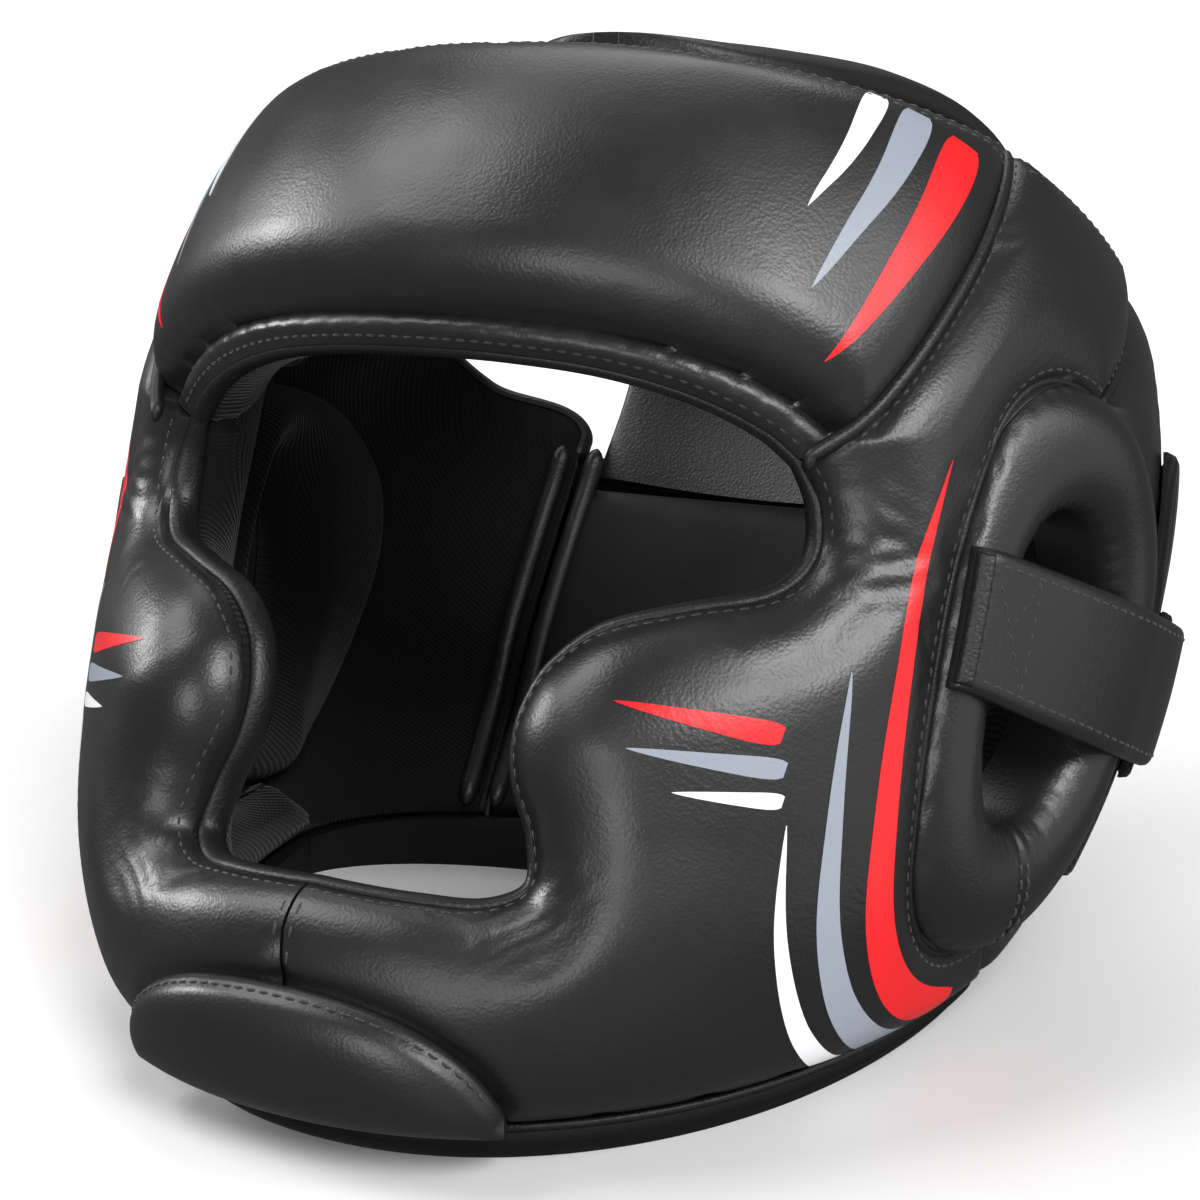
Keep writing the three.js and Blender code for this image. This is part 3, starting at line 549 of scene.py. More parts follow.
def object_place(tree):
    return tree.nodes.new("ShaderNodeTexCoord").outputs["Object"]


def leather(name, base, roughness, grain=0.35, **constants):
    """Pebbled synthetic leather: fine cells, finer pores and slow changes of sheen."""
    material, tree, surface = shader(name, base, roughness, **constants)
    place = object_place(tree)
    pebble = node(tree, "ShaderNodeTexVoronoi", {"Vector": place, "Scale": 1500.0}, feature="SMOOTH_F1")
    pore = node(tree, "ShaderNodeTexNoise", {"Vector": place, "Scale": 2600.0, "Detail": 2.0})
    wave = {"Vector": place, "Scale": 300.0, "Detail": 4.0, "Distortion": 0.8}
    crease = node(tree, "ShaderNodeTexNoise", wave)
    height = summed(tree, (pebble, 0.7), (pore, 0.4), (crease, 0.16))
    bumped(tree, surface, height, grain, 0.0003)
    tree.links.new(varied(tree, place, 45.0, roughness - 0.05, roughness + 0.06), surface.inputs["Roughness"])
    return material


def knit(name, base, ribs, direction, strength):
    """Ribbed knit or weave that follows the cloth's own measure."""
    sheen = dict(Sheen_Weight=0.12, Sheen_Roughness=0.5, Specular_IOR_Level=0.1)
    material, tree, surface = shader(name, base, 0.92, **sheen)
    cloth = node(tree, "ShaderNodeAttribute", attribute_name="cloth")
    cloth = cloth.node.outputs["Vector"]
    turn = math.radians(direction)
    across = [2 * math.pi / ribs * math.cos(turn), 2 * math.pi / ribs * math.sin(turn), 0]
    along = [-across[1] * 1.4, across[0] * 1.4, 0]
    waves = []
    for way in (across, along):
        product = node(tree, "ShaderNodeVectorMath", {0: cloth, 1: way}, operation="DOT_PRODUCT")
        waves.append(math_node(tree, "SINE", product.node.outputs["Value"]))
    fuzz = node(tree, "ShaderNodeTexNoise", {"Vector": cloth, "Scale": 3.0, "Detail": 3.0})
    height = summed(tree, (waves[0], 0.5), (waves[1], 0.22), (fuzz, 0.6))
    bumped(tree, surface, height, strength, 0.0004)
    return material


def oval(shape, turn, clearance=(0, 0)):
    """Points of a rounded oval on the wall, turning from its front over its top."""
    c, s = np.cos(np.radians(turn)), np.sin(np.radians(turn))
    power = shape["power"]
    reach = (np.abs(c) ** power + np.abs(s) ** power) ** (-1 / power)
    rise = (shape["half_wall"] + clearance[1]) * s * reach
    angle = shape["angle"] - (shape["half_angle"] + clearance[0]) * c * reach + shape["lean"] * rise
    return angle, shape["wall"] + rise


def ear_seam(turn):
    return oval(EAR_OUTLINE, turn, EAR_SEAM_CLEARANCE)


def forehead_seam(part):
    """Seam between forehead and temple: part of its height from the brow corner to the top edge."""
    return smooth(SEAM, 1, part), mix(BROW[-1, 1], TOP_CORNER_WALL, part)


def on_forehead(across, part):
    """Place on the forehead: across from seam to seam (-1 to 1), part of its height."""
    angle, _ = forehead_seam(part)
    brow = smooth(BROW, 1, np.abs(across) * BROW[-1, 0])
    return across * angle, mix(brow, mix(TOP_WALL, TOP_CORNER_WALL, across**2), part)


def side_outer(at):
    """Place on a side panel's outer border: lower rim, low seam, ear ring, upper back seam."""
    at = np.asarray(at, float)
    bottom, top = (ear_seam(float(turn)) for turn in EAR_SEAM_ENDS)
    ring = ear_seam(mix(*EAR_SEAM_ENDS, np.clip(at - 2, 0, 1)))
    low, high = np.clip(at - 1, 0, 1), np.clip(at - 3, 0, 1)
    rim = (LOW_SEAM_ANGLE * np.clip(at, 0, 1), RIM_HEIGHT)
    choice = [at <= 1, at <= 2, at <= 3]
    lines = [
        [rim[k], mix((LOW_SEAM_ANGLE, RIM_HEIGHT)[k], bottom[k], low), ring[k]]
        for k in (0, 1)
    ]
    ends = [mix(top[k], UPPER_BACK_SEAM_TOP[k], high) for k in (0, 1)]
    return tuple(np.select(choice, np.broadcast_arrays(*line, at)[:3], end) for line, end in zip(lines, ends))


def side_rib(t):
    """Stitched edge, outer border and bend of a side panel's rib, from the chin seam (0) past the brow
    corner (1) to the top (2)."""
    t = np.asarray(t, float)
    upper = t > 1
    low = [smooth(numbered(RIBS), column, np.clip(t, 0, 1)) for column in range(1, 7)]
    part, at = (smooth(numbered(UPPER_RIBS), column, np.clip(t - 1, 0, 1)) for column in (1, 2))
    seam, outer = forehead_seam(part), side_outer(np.where(upper, at, low[3]))
    edge = [np.where(upper, seam[k], low[k]) for k in (0, 1)]
    bend = [np.where(upper, (edge[k] + outer[k]) / 2, outer[k] + low[4 + k]) for k in (0, 1)]
    return edge, outer, bend, np.where(upper, SEAM_DEPTH, low[2])


def side_place(s, t, margin=SEAM_GAP / 2):
    """Place on a side panel, from its stitched edge (0) to its outer border (1), on a rib."""
    edge, outer, bend, _ = side_rib(2 * np.asarray(t, float))
    length = np.linalg.norm(form(*edge) - form(*outer), axis=-1)
    free = margin / length
    k = free + s * (1 - 2 * free)
    angle, wall = ((1 - k) ** 2 * edge[i] + 2 * k * (1 - k) * bend[i] + k**2 * outer[i] for i in (0, 1))
    return np.maximum(angle, SEAM_GAP / 4), wall


def beside(angle, wall, distance):
    """A line of places moved to its left on the wall, as seen from outside, by millimetres."""
    half = 0.5
    per_angle = np.linalg.norm(form(angle + half, wall) - form(angle - half, wall), axis=-1)
    per_wall = np.linalg.norm(form(angle, wall + half) - form(angle, wall - half), axis=-1)
    along = unit(np.stack([np.gradient(angle) * per_angle, np.gradient(wall) * per_wall], -1))
    shift_angle, shift_wall = -along[:, 1] / per_angle, along[:, 0] / per_wall
    if np.ndim(distance) == 2:
        parts = angle, wall, shift_angle, shift_wall
        angle, wall, shift_angle, shift_wall = (part[:, None] for part in parts)
    return angle + distance * shift_angle, wall + distance * shift_wall


def relaxed(rows, columns, angle, wall):
    """Places of a panel's grid, evened out between its borders so that rows and columns don't crowd."""
    near = 1 / np.diff(columns)
    far = ROW_WEIGHT / np.diff(rows)
    weights = [near[None, :-1], near[None, 1:], far[:-1, None], far[1:, None]]
    total = sum(weights)
    for _ in range(RELAX_ROUNDS):
        for grid in (angle, wall):
            sides = [grid[1:-1, :-2], grid[1:-1, 2:], grid[:-2, 1:-1], grid[2:, 1:-1]]
            grid[1:-1, 1:-1] = sum(weight * side for weight, side in zip(weights, sides)) / total
    return angle, wall


def refined(grid, times):
    """A grid's rows again, with more rows in between on smooth curves."""
    last = len(grid) - 1
    at = np.linspace(0, last, last * times + 1)
    i = np.minimum(at.astype(int), last - 1)
    t = (at - i).reshape(-1, *[1] * (grid.ndim - 1))
    slope = np.gradient(grid, axis=0)
    return curve(t, grid[i], grid[i + 1], slope[i], slope[i + 1])


SIDE_FINE = (8, 14)  # fine rows and columns for each one of the panel's grid


def side_grid():
    """Angles and walls of a fine grid on a side panel."""
    ribs = np.sort(np.concatenate([np.arange(len(RIBS)), HALF_RIBS]))
    rows = np.concatenate([ribs / (len(RIBS) - 1) / 2, 0.5 + places(UPPER_ROWS, 0.3)[1:] / 2])
    columns = places(SIDE_COLUMNS, 0.65)
    angle, wall = relaxed(rows, columns, *side_place(columns[None], rows[:, None]))
    even = np.linspace(0, 1, (len(rows) - 1) * SIDE_FINE[0] + 1)
    fine_rows = np.interp(even, np.linspace(0, 1, len(rows)), rows)
    fade = np.clip(1 - np.arange(SIDE_COLUMNS * SIDE_FINE[1] + 1) / SIDE_FINE[1], 0, 1)
    first, last = side_place(0.0, fine_rows), side_place(1.0, fine_rows)
    grids = []
    for k, coarse in enumerate((angle, wall)):
        fine = refined(refined(coarse, SIDE_FINE[0]).T, SIDE_FINE[1]).T
        fine = fine + np.outer(first[k] - fine[:, 0], fade) + np.outer(last[k] - fine[:, -1], fade[::-1])
        grids.append(fine)
    return grids


def pleats(arc, pitch, drift):
    """Rounded folds along an edge, not quite evenly spaced."""
    wave = np.sin(2 * np.pi * arc / pitch + 1.1 * np.sin(arc / drift) + 0.7 * np.sin(arc / (0.37 * drift)))
    return np.maximum(wave, 0) ** 1.4


def bell(x, width):
    return np.exp(-((x / width) ** 2))


BROW_PLEATS = dict(distance=6.5, width=2.6, depth=0.25, pitch=7.4, drift=23)
BROW_GATHERS = dict(distance=11, width=3.0, depth=0.2, pitch=14, drift=31)


def gathers(distance, arc, place):
    """Folds that stand across an edge, deepest at a distance from it."""
    fold = place["depth"] * pleats(arc, place["pitch"], place["drift"])
    return fold * bell(distance - place["distance"], place["width"])


def forehead_detail(angle, wall, effects):
    """Gathers at the crease above the brow's stitched edge, and soft hollows in the leather."""
    distance, arc, _ = effects[0]
    fold = gathers(distance, arc, BROW_PLEATS) + gathers(distance, arc, BROW_GATHERS)
    return fold + 0.12 * np.sin(angle / 9.0 + wall / 23.0) * np.sin(wall / 13.0)


# Folds along the face opening. Columns: rib number, crease depth, pleat depth.
OPENING_FOLDS = np.array([
    [0, 0.05, 0], [2, 0.1, 0.05], [3, 0.3, 0.14], [4, 0.15, 0.06], [6, 0.05, 0], [8, 0.05, 0],
    [10, 0.1, 0.03], [11.5, 0.5, 0.12], [12.5, 0.6, 0.14], [13.5, 0.3, 0.1], [14, 0.1, 0.06],
])
OPENING_CREASE = dict(distance=13, width=3.6)
OPENING_PLEATS = dict(distance=7, width=4.2, pitch=6.4, drift=19)

# Wrinkles in the leather. Columns: angle, wall, direction, pitch, length, width, depth.
WRINKLES = np.array([
    [26, 55, 35, 4.2, 9, 7, 0.2],
    [30, 66, 62, 4.8, 10, 6, 0.16],
    [52, 134, 20, 5.5, 9, 7, 0.25],
    [52, 147, -20, 5.0, 8, 7, 0.2],
])


CHIN_GROOVE = dict(distance=1.0, width=0.8, depth=0.4, beside=1.1, reach=2.4)


def chin_place(s, t):
    across = (2 * t - 1) * CHIN_PAD["ends"]
    power = CHIN_PAD["power"]
    top = CHIN_PAD["bottom"] + CHIN_PAD["height"] * (1 - np.abs(across) ** power) ** (1 / power)
    return across * CHIN_PAD["half_angle"], mix(CHIN_PAD["bottom"], top, s)


def side_detail(angle, wall, effects):
    """Crease, gathers and wrinkles round the face opening."""
    distance, arc, _ = effects[0]
    rib = np.interp(arc, SIDE_EDGE.arc, np.linspace(0, len(RIBS) - 1, len(SIDE_EDGE.arc)))
    crease = bell(distance - OPENING_CREASE["distance"], OPENING_CREASE["width"])
    crease = smooth(OPENING_FOLDS, 1, rib) * crease
    fold = smooth(OPENING_FOLDS, 2, rib) * pleats(arc, OPENING_PLEATS["pitch"], OPENING_PLEATS["drift"])
    fold = fold * bell(distance - OPENING_PLEATS["distance"], OPENING_PLEATS["width"])
    arch, _ = nearest(form(angle, wall), form(*chin_place(1.0, EVEN)))
    sewn = CHIN_GROOVE["beside"] * bell(arch, CHIN_GROOVE["reach"])
    depth = crease + fold + sewn + 0.12 * np.sin(angle / 8.0) * np.sin(wall / 15.0)
    for at_angle, at_wall, direction, pitch, length, width, deep in WRINKLES:
        x, y = (angle - at_angle) * 1.9, (wall - at_wall) * FIT
        c, s = math.cos(math.radians(direction)), math.sin(math.radians(direction))
        along, across = x * c + y * s, y * c - x * s
        wave = 0.5 + 0.5 * np.sin(2 * np.pi * across / pitch + 0.5 * np.sin(along / 3.0))
        depth = depth + deep * wave * bell(along, length) * bell(across, width)
    return depth


EVEN = np.linspace(0, 1, 161)
SIDE_EDGE = Border(*side_rib(EVEN)[0], side_rib(EVEN)[3], OPENING_ROLL)


def forehead_panel():
    ends = 2 * EVEN - 1
    borders = [
        Border(*on_forehead(ends, 0.0), BROW_DEPTH, BROW_ROLL, BROW_LEDGE),
        Border(*on_forehead(ends, 1.0), TOP_DEPTH, TOP_ROLL),
        Border(*on_forehead(-1.0, EVEN), SEAM_DEPTH, SEAM_ROLL),
        Border(*on_forehead(1.0, EVEN), SEAM_DEPTH, SEAM_ROLL),
    ]
    return Panel(borders, PAD_SPLIT, PAD_THICKNESS, forehead_detail)


def straight(start, end):
    return [mix(start[k], end[k], EVEN) for k in (0, 1)]


def side_panel():
    chin, top = side_rib(0.0), side_rib(2.0)
    borders = [
        SIDE_EDGE,
        Border(*side_rib(1 + EVEN)[0], SEAM_DEPTH, SEAM_ROLL),
        Border(*side_outer(EVEN), SIDE_RIM_DEPTH, SIDE_RIM_ROLL),
        Border(*side_outer(1 + EVEN), SEAM_DEPTH, SEAM_ROLL),
        Border(*side_outer(2 + EVEN), EAR_SEAM_DEPTH, EAR_SEAM_ROLL),
        Border(*side_outer(3 + EVEN), SEAM_DEPTH, SEAM_ROLL),
        Border(*straight(top[0], top[1]), TOP_DEPTH, TOP_ROLL),
        Border(*straight(chin[0], chin[1]), CHIN_SEAM_DEPTH, CHIN_SEAM_ROLL),
    ]
    return Panel(borders, PAD_SPLIT, PAD_THICKNESS, side_detail)


def back_rib(t):
    turn, angle, wall = (smooth(numbered(BACK_RIBS), column, t) for column in (1, 2, 3))
    return ear_seam(turn), (np.minimum(angle, BACK_EDGE_ANGLE), np.maximum(wall, RIM_HEIGHT))


def back_place(s, t):
    """Place on the panel behind an ear, from the ear ring (0) to its outer border (1)."""
    ring, outer = back_rib(mix(BACK_END_MARGIN, 1 - BACK_END_MARGIN, t))
    free = SEAM_GAP / 2 / np.linalg.norm(form(*ring) - form(*outer), axis=-1)
    k = free + s * (1 - 2 * free)
    return mix(ring[0], outer[0], k), mix(ring[1], outer[1], k)


def back_panel():
    first, last = back_rib(0.0), back_rib(1.0)
    borders = [
        Border(*back_rib(EVEN)[0], BACK_RING_DEPTH, EAR_SEAM_ROLL),
        Border(*back_rib(EVEN)[1], BACK_EDGE_DEPTH, BACK_EDGE_ROLL),
        Border(*straight(*first), SEAM_DEPTH, SEAM_ROLL),
        Border(*straight(*last), SEAM_DEPTH, SEAM_ROLL),
    ]
    return Panel(borders, BACK_SPLIT, BACK_THICKNESS)


CLOTH = dict(pressure=4.0, growth=0.0015, cap=0.6, frames=16, mass=0.02, stretch=14.0, bend=8.0, quality=5)


def settled(face):
    """A panel's leather after a cloth simulation: sewn down at its edges, pressed out by its padding."""
    few = face[::2, ::2]
    rows, columns = few.shape[:2]
    number = np.arange(rows * columns).reshape(rows, columns)
    quads = grid_faces(number)
    inward = np.cross(few[1:, :-1] - few[:-1, :-1], few[:-1, 1:] - few[:-1, :-1]).reshape(-1, 3)
    if np.einsum("ij,ij->", few.reshape(-1, 3)[quads[:, 0]] - few.mean((0, 1)), inward) > 0:
        quads = quads[:, ::-1]
    mesh = bpy.data.meshes.new("sheet")
    mesh.from_pydata((few.reshape(-1, 3) * MM).tolist(), [], quads.tolist())
    sheet = bpy.data.objects.new("sheet", mesh)
    scene = bpy.context.scene
    scene.collection.objects.link(sheet)
    sewn = sheet.vertex_groups.new(name="sewn")
    border = [number[:2], number[-2:], number[:, :2], number[:, -2:]]
    border = np.concatenate([strip.ravel() for strip in border])
    sewn.add([int(k) for k in border], 1.0, "REPLACE")
    cloth = sheet.modifiers.new("cloth", "CLOTH")
    settings = dict(
        vertex_group_mass="sewn", mass=CLOTH["mass"], quality=CLOTH["quality"],
        tension_stiffness=CLOTH["stretch"], compression_stiffness=CLOTH["stretch"],
        shear_stiffness=CLOTH["stretch"] / 2, bending_stiffness=CLOTH["bend"], shrink_min=-CLOTH["growth"],
        use_pressure=True, uniform_pressure_force=CLOTH["pressure"],
    )
    for setting, value in settings.items():
        setattr(cloth.settings, setting, value)
    cloth.settings.effector_weights.gravity = 0
    cloth.collision_settings.use_collision = False
    cloth.point_cache.frame_start = 1
    cloth.point_cache.frame_end = CLOTH["frames"]
    for step in range(1, CLOTH["frames"] + 1):
        scene.frame_set(step)
    moved = sheet.evaluated_get(bpy.context.evaluated_depsgraph_get()).to_mesh()
    after = np.empty(3 * rows * columns, np.float32)
    moved.vertices.foreach_get("co", after)
    sheet.to_mesh_clear()
    bpy.data.objects.remove(sheet)
    bpy.data.meshes.remove(mesh)
    scene.frame_set(1)
    move = after.reshape(few.shape) / MM - few
    length = np.linalg.norm(move, axis=-1, keepdims=True)
    move = move * np.minimum(1, CLOTH["cap"] / np.maximum(length, 1e-9))
    return face + refined(refined(move, 2).swapaxes(0, 1), 2).swapaxes(0, 1)


def panel_shapes(panel, angle, wall):
    """Leather half and lining half of a padded panel, with the lining's weave."""
    skin, join, lining = panel.faces(angle, wall)
    face = settled(sunk(angle, wall, skin))
    panel.grow(face)
    pad = solid(face, sunk(angle, wall, join))
    few = (slice(None, None, 2), slice(None, None, 2))
    back = solid(
        sunk(angle[few], wall[few], join[few] + LAYER_GAP),
        sunk(angle[few], wall[few], lining[few]),
    )
    return pad, back, woven(angle[few], wall[few])


LEATHER = leather("black_leather", (0.0105, 0.0105, 0.0115), 0.34, grain=0.22, Specular_IOR_Level=0.62)
# A darker copy of the black leather for the rear pad and the rim band. Its darker base colour is painted
# shade, which keeps the rear pad's inside dark where the lamps light it through the face opening.
SHADED_INNER_LEATHER = leather("inner_leather_painted_shade", (0.004, 0.004, 0.0045), 0.6, grain=0.4, Specular_IOR_Level=0.25)
TRIM = leather("binding_leather", (0.008, 0.008, 0.009), 0.42, grain=0.45, Specular_IOR_Level=0.5)
RED = leather("red_print", (0.78, 0.008, 0.012), 0.36, grain=0.16)
GREY = leather("grey_print", (0.29, 0.325, 0.38), 0.36, grain=0.16)
WHITE = leather("white_print", (0.86, 0.87, 0.88), 0.36, grain=0.16)
LINING = knit("ribbed_lining", (0.0075, 0.0075, 0.008), 1.7, 35, 0.55)
WEBBING = knit("woven_webbing", (0.012, 0.012, 0.0135), 1.1, 0, 0.6)
THREAD = shader("thread", (0.02, 0.02, 0.022), 0.5, Sheen_Weight=0.2)[0]


def forehead():
    panel = forehead_panel()
    angle, wall = forehead_seam(0.5)
    margin = SEAM_GAP / 2 / np.linalg.norm(form(angle, wall) - form(0.0, wall))
    across, part = np.meshgrid((2 * places(200, 0.4) - 1) * (1 - margin), places(72, 0.6))
    pad, back, weave = panel_shapes(panel, *on_forehead(across, part))
    make("forehead_leather", pad, LEATHER, "forehead_pad")
    make("forehead_knit", back, LINING, "forehead_lining", weave)
    return panel


def sides():
    panel = side_panel()
    pad, back, weave = panel_shapes(panel, *side_grid())
    make_pair("side_leather", pad, LEATHER, "side_pad")
    make_pair("side_knit", back, LINING, "side_lining", weave)
    return panel


def backs():
    panel = back_panel()
    s, t = np.meshgrid(places(44, 0.6), places(120, 0.2))
    pad, back, weave = panel_shapes(panel, *back_place(s, t))
    make_pair("back_leather", pad, LEATHER, "back_pad")
    make_pair("back_knit", back, LINING, "back_lining", weave)
    return panel


EAR_TURNS = 240
EAR_PUCKERS = dict(count=38, depth=0.35)
EAR_BUTT = dict(turn=268, width=1.5, depth=1.6, rows=2.6)  # seam across the ring where its ends meet


def ear_grid(outline, count):
    """Places of a ring of leather or knit between an outline and the ear hole."""
    turn = np.linspace(0, 360, EAR_TURNS, endpoint=False)[:, None]
    s = places(count, 0.8)[None]
    outer, hole = oval(outline, turn), oval(EAR_HOLE, turn)
    return turn, s, mix(outer[0], hole[0], s), mix(outer[1], hole[1], s)


def ear_face(turn, s, angle):
    """Depth of the ear ring's rolled leather."""
    pucker = np.sin(np.radians(turn) * EAR_PUCKERS["count"] + 2 * np.sin(np.radians(turn) * 5))
    near_edges = bell(s - 0.07, 0.06) + 0.7 * bell(s - 0.93, 0.07)
    pucker = EAR_PUCKERS["depth"] * np.maximum(pucker, 0) * near_edges
    butt = EAR_BUTT["depth"] * bell(turn - EAR_BUTT["turn"], EAR_BUTT["width"]) * bell(s - 0.4, 0.5)
    rise = mix(EAR_RING_RISE["front"], EAR_RING_RISE["rear"], smooth_step(angle, *EAR_RING_RISE["change"]))
    return mix(EAR_SEAM_DEPTH, -rise, 2 * np.sqrt(s * (1 - s))) + pucker + butt


def ears():
    turn, s, angle, wall = ear_grid(EAR_OUTLINE, 44)
    ring = solid(sunk(angle, wall, ear_face(turn, s, angle)), sunk(angle, wall, EAR_RING_SPLIT), ring=True)
    make_pair("ear_ring_leather", ring, LEATHER, "ear_ring")
    turn, s, angle, wall = ear_grid(EAR_CUSHION, 36)
    face = mix(EAR_CUSHION_EDGE, EAR_CUSHION_DEPTH, 2 * np.sqrt(s * (1 - s))) + 0 * angle
    front = sunk(angle, wall, EAR_RING_SPLIT + LAYER_GAP)
    cushion = solid(front, sunk(angle, wall, face), ring=True)
    make_pair("ear_cushion_knit", cushion, LINING, "ear_cushion", woven(angle, wall))
    s = np.linspace(0.1, 0.8, 40)
    shapes = []
    for side in (-1, 1):
        turn = np.full_like(s, EAR_BUTT["turn"] + side * EAR_BUTT["rows"])
        outer, hole = oval(EAR_OUTLINE, turn), oval(EAR_HOLE, turn)
        angle, wall = mix(outer[0], hole[0], s), mix(outer[1], hole[1], s)
        path = sunk(angle, wall, ear_face(turn, s, angle) - 0.2)
        shapes.append(stitches(path, normal(angle, wall), **FINE))
    make_pair("ear_ring_stitches", joined(shapes), THREAD)


def level(edge, angle):
    """Wall of a layer's edge, which may change with the angle."""
    return edge(angle) if callable(edge) else edge + 0 * angle


def layer_shape(place, inner_height, thickness, counts, roll):
    """A flat layer on the wall with rolled edges, and its weave."""
    t, s = np.meshgrid(places(counts[0], 0.25), places(counts[1], 0.7), indexing="ij")
    angle = mix(place["start"], place["end"], t)
    low, high = level(place["low"], angle), level(place["high"], angle)
    wall = mix(low, high, s)
    ends = [form(place[end], (low[0, 0] + high[0, 0]) / 2) for end in ("start", "end")]
    length = max(np.linalg.norm(ends[1] - ends[0]), np.ptp(angle) * 1.6)
    height = np.linalg.norm(form(angle, high) - form(angle, low), axis=-1)
    edge = np.minimum(np.minimum(t, 1 - t) * length, np.minimum(s, 1 - s) * height)
    base = inner_height(angle)
    top = base + thickness * mix(0.3, 1, rounded(edge, roll))
    return solid(sunk(angle, wall, -top), sunk(angle, wall, -base)), woven(angle, wall)


def strap_height(angle):
    return smooth(STRAP, 1, angle)


def strap_low(angle):
    return smooth(STRAP, 2, angle)


def strap_high(angle):
    return smooth(STRAP, 3, angle)


def even_height(height):
    """A layer's height that is the same at every angle."""
    return lambda angle: height + 0 * angle


STRAP_FOLD = dict(start=61.8, end=63.3, inset=1.4, sunk=0.6, thickness=1.0)


def straps():
    strap = dict(start=STRAP[0, 0], end=STRAP[-1, 0], low=strap_low, high=strap_high)
    shape, _ = layer_shape(strap, strap_height, STRAP_THICKNESS, (150, 26), 2.4)
    make_pair("ear_strap_leather", shape, LEATHER, "ear_strap")
    fold = dict(
        start=STRAP_FOLD["start"], end=STRAP_FOLD["end"],
        low=lambda angle: strap_low(angle) + STRAP_FOLD["inset"],
        high=lambda angle: strap_high(angle) - STRAP_FOLD["inset"],
    )

    def raised(angle):
        return strap_height(angle) + STRAP_THICKNESS - STRAP_FOLD["sunk"]

    shape, _ = layer_shape(fold, raised, STRAP_FOLD["thickness"], (16, 26), 0.8)
    make_pair("strap_fold", shape, TRIM)
    shape, weave = layer_shape(TAB, even_height(TAB["height"]), TAB["thickness"], (30, 24), 1.6)
    make_pair("strap_tab_webbing", shape, WEBBING, "strap_tab", weave)
    height = even_height(REAR_FLAP["height"])
    shape, weave = layer_shape(REAR_FLAP, height, REAR_FLAP["thickness"], (170, 40), 2.2)
    make("rear_flap_webbing", shape, WEBBING, "rear_flap", weave)


def chin_faces(angle, wall):
    """Inner and outer depth of the chin pad, with a groove where it is stitched down."""
    inner = SIDE_RIM_DEPTH * (1 - rounded(wall - RIM_HEIGHT, SIDE_RIM_ROLL)) - CHIN_PAD["clear"]
    at = form(angle, wall).reshape(-1, 3)
    arch = Border(*chin_place(1.0, EVEN), 1, CHIN_PAD["roll"])
    distance, _, low = arch.effect(at)
    hem = Border(*chin_place(0.0, EVEN), CHIN_PAD["hem"], CHIN_PAD["hem_roll"])
    low = np.maximum(low, hem.effect(at)[2])
    low, distance = low.reshape(np.shape(angle)), distance.reshape(np.shape(angle))
    groove = CHIN_GROOVE["depth"] * bell(distance - CHIN_GROOVE["distance"], CHIN_GROOVE["width"])
    return inner, inner - CHIN_PAD["edge"] - CHIN_PAD["rise"] * (1 - low) + groove


def chin_pad():
    s, t = np.meshgrid(places(56, 0.6), places(150, 0.6))
    angle, wall = chin_place(s, t)
    inner, outer = chin_faces(angle, wall)
    shape = solid(sunk(angle, wall, outer), sunk(angle, wall, inner))
    make("chin_pad_leather", shape, LEATHER, "chin_pad", sharp=35)


def rear_pad():
    s, t = np.meshgrid(places(64, 0.6), places(64, 0.6))
    angle, wall = mix(REAR_PAD["start"], REAR_PAD["end"], t), mix(REAR_PAD["low"], REAR_PAD["high"], s)
    around = [("start", "low"), ("end", "low"), ("end", "high"), ("start", "high")]
    corners = [(REAR_PAD[end], REAR_PAD[edge]) for end, edge in around]
    lines = [straight(corners[k], corners[(k + 1) % 4]) for k in range(4)]
    borders = [Border(*line, BACK_EDGE_DEPTH, BACK_EDGE_ROLL) for line in lines]
    at = form(angle, wall).reshape(-1, 3)
    face = np.max([border.effect(at)[2] for border in borders], axis=0).reshape(angle.shape)
    back = BACK_THICKNESS - REAR_PAD["inner_round"] * face
    shape = solid(sunk(angle, wall, face), sunk(angle, wall, back))
    # The rear pad is made in the darker leather, whose colour is painted shade.
    make("rear_pad_leather", shape, SHADED_INNER_LEATHER, "rear_pad")


def crown_line(at):
    """Points on the crown's middle line, a centripetal curve through its table."""
    knots = np.column_stack([np.zeros(len(CROWN)), CROWN[:, :2] * FIT])
    knots = np.vstack([2 * knots[0] - knots[1], knots, 2 * knots[-1] - knots[-2]])
    place = np.clip(at, 0, 1) * (len(CROWN) - 1)
    i = np.minimum(place.astype(int), len(CROWN) - 2)
    t = (place - i)[..., None]
    p = [knots[i + k] for k in range(4)]
    gap = [np.sqrt(np.linalg.norm(p[k + 1] - p[k], axis=-1))[..., None] for k in range(3)]
    leave = (p[1] - p[0]) / gap[0] - (p[2] - p[0]) / (gap[0] + gap[1]) + (p[2] - p[1]) / gap[1]
    arrive = (p[2] - p[1]) / gap[1] - (p[3] - p[1]) / (gap[1] + gap[2]) + (p[3] - p[2]) / gap[2]
    return curve(t, p[1], p[2], gap[1] * leave, gap[1] * arrive)


def crown_at(y):
    """Place on the crown's middle line where it passes a depth from the chin."""
    at = np.linspace(1, 0, 2001)
    return at[np.argmax(crown_line(at)[:, 1] >= y * FIT)]


def crown_point(s, at, half_width, depth):
    step = 1e-4
    tangent = unit(crown_line(np.minimum(at + step, 1)) - crown_line(np.maximum(at - step, 0)))
    up = np.stack([np.zeros_like(at), tangent[..., 2], -tangent[..., 1]], -1)
    x = (2 * s - 1) * FIT * half_width
    drop = depth + x**2 / (2 * CROWN_CURVE)
    return crown_line(at) - drop[..., None] * up + x[..., None] * np.array([1.0, 0, 0])


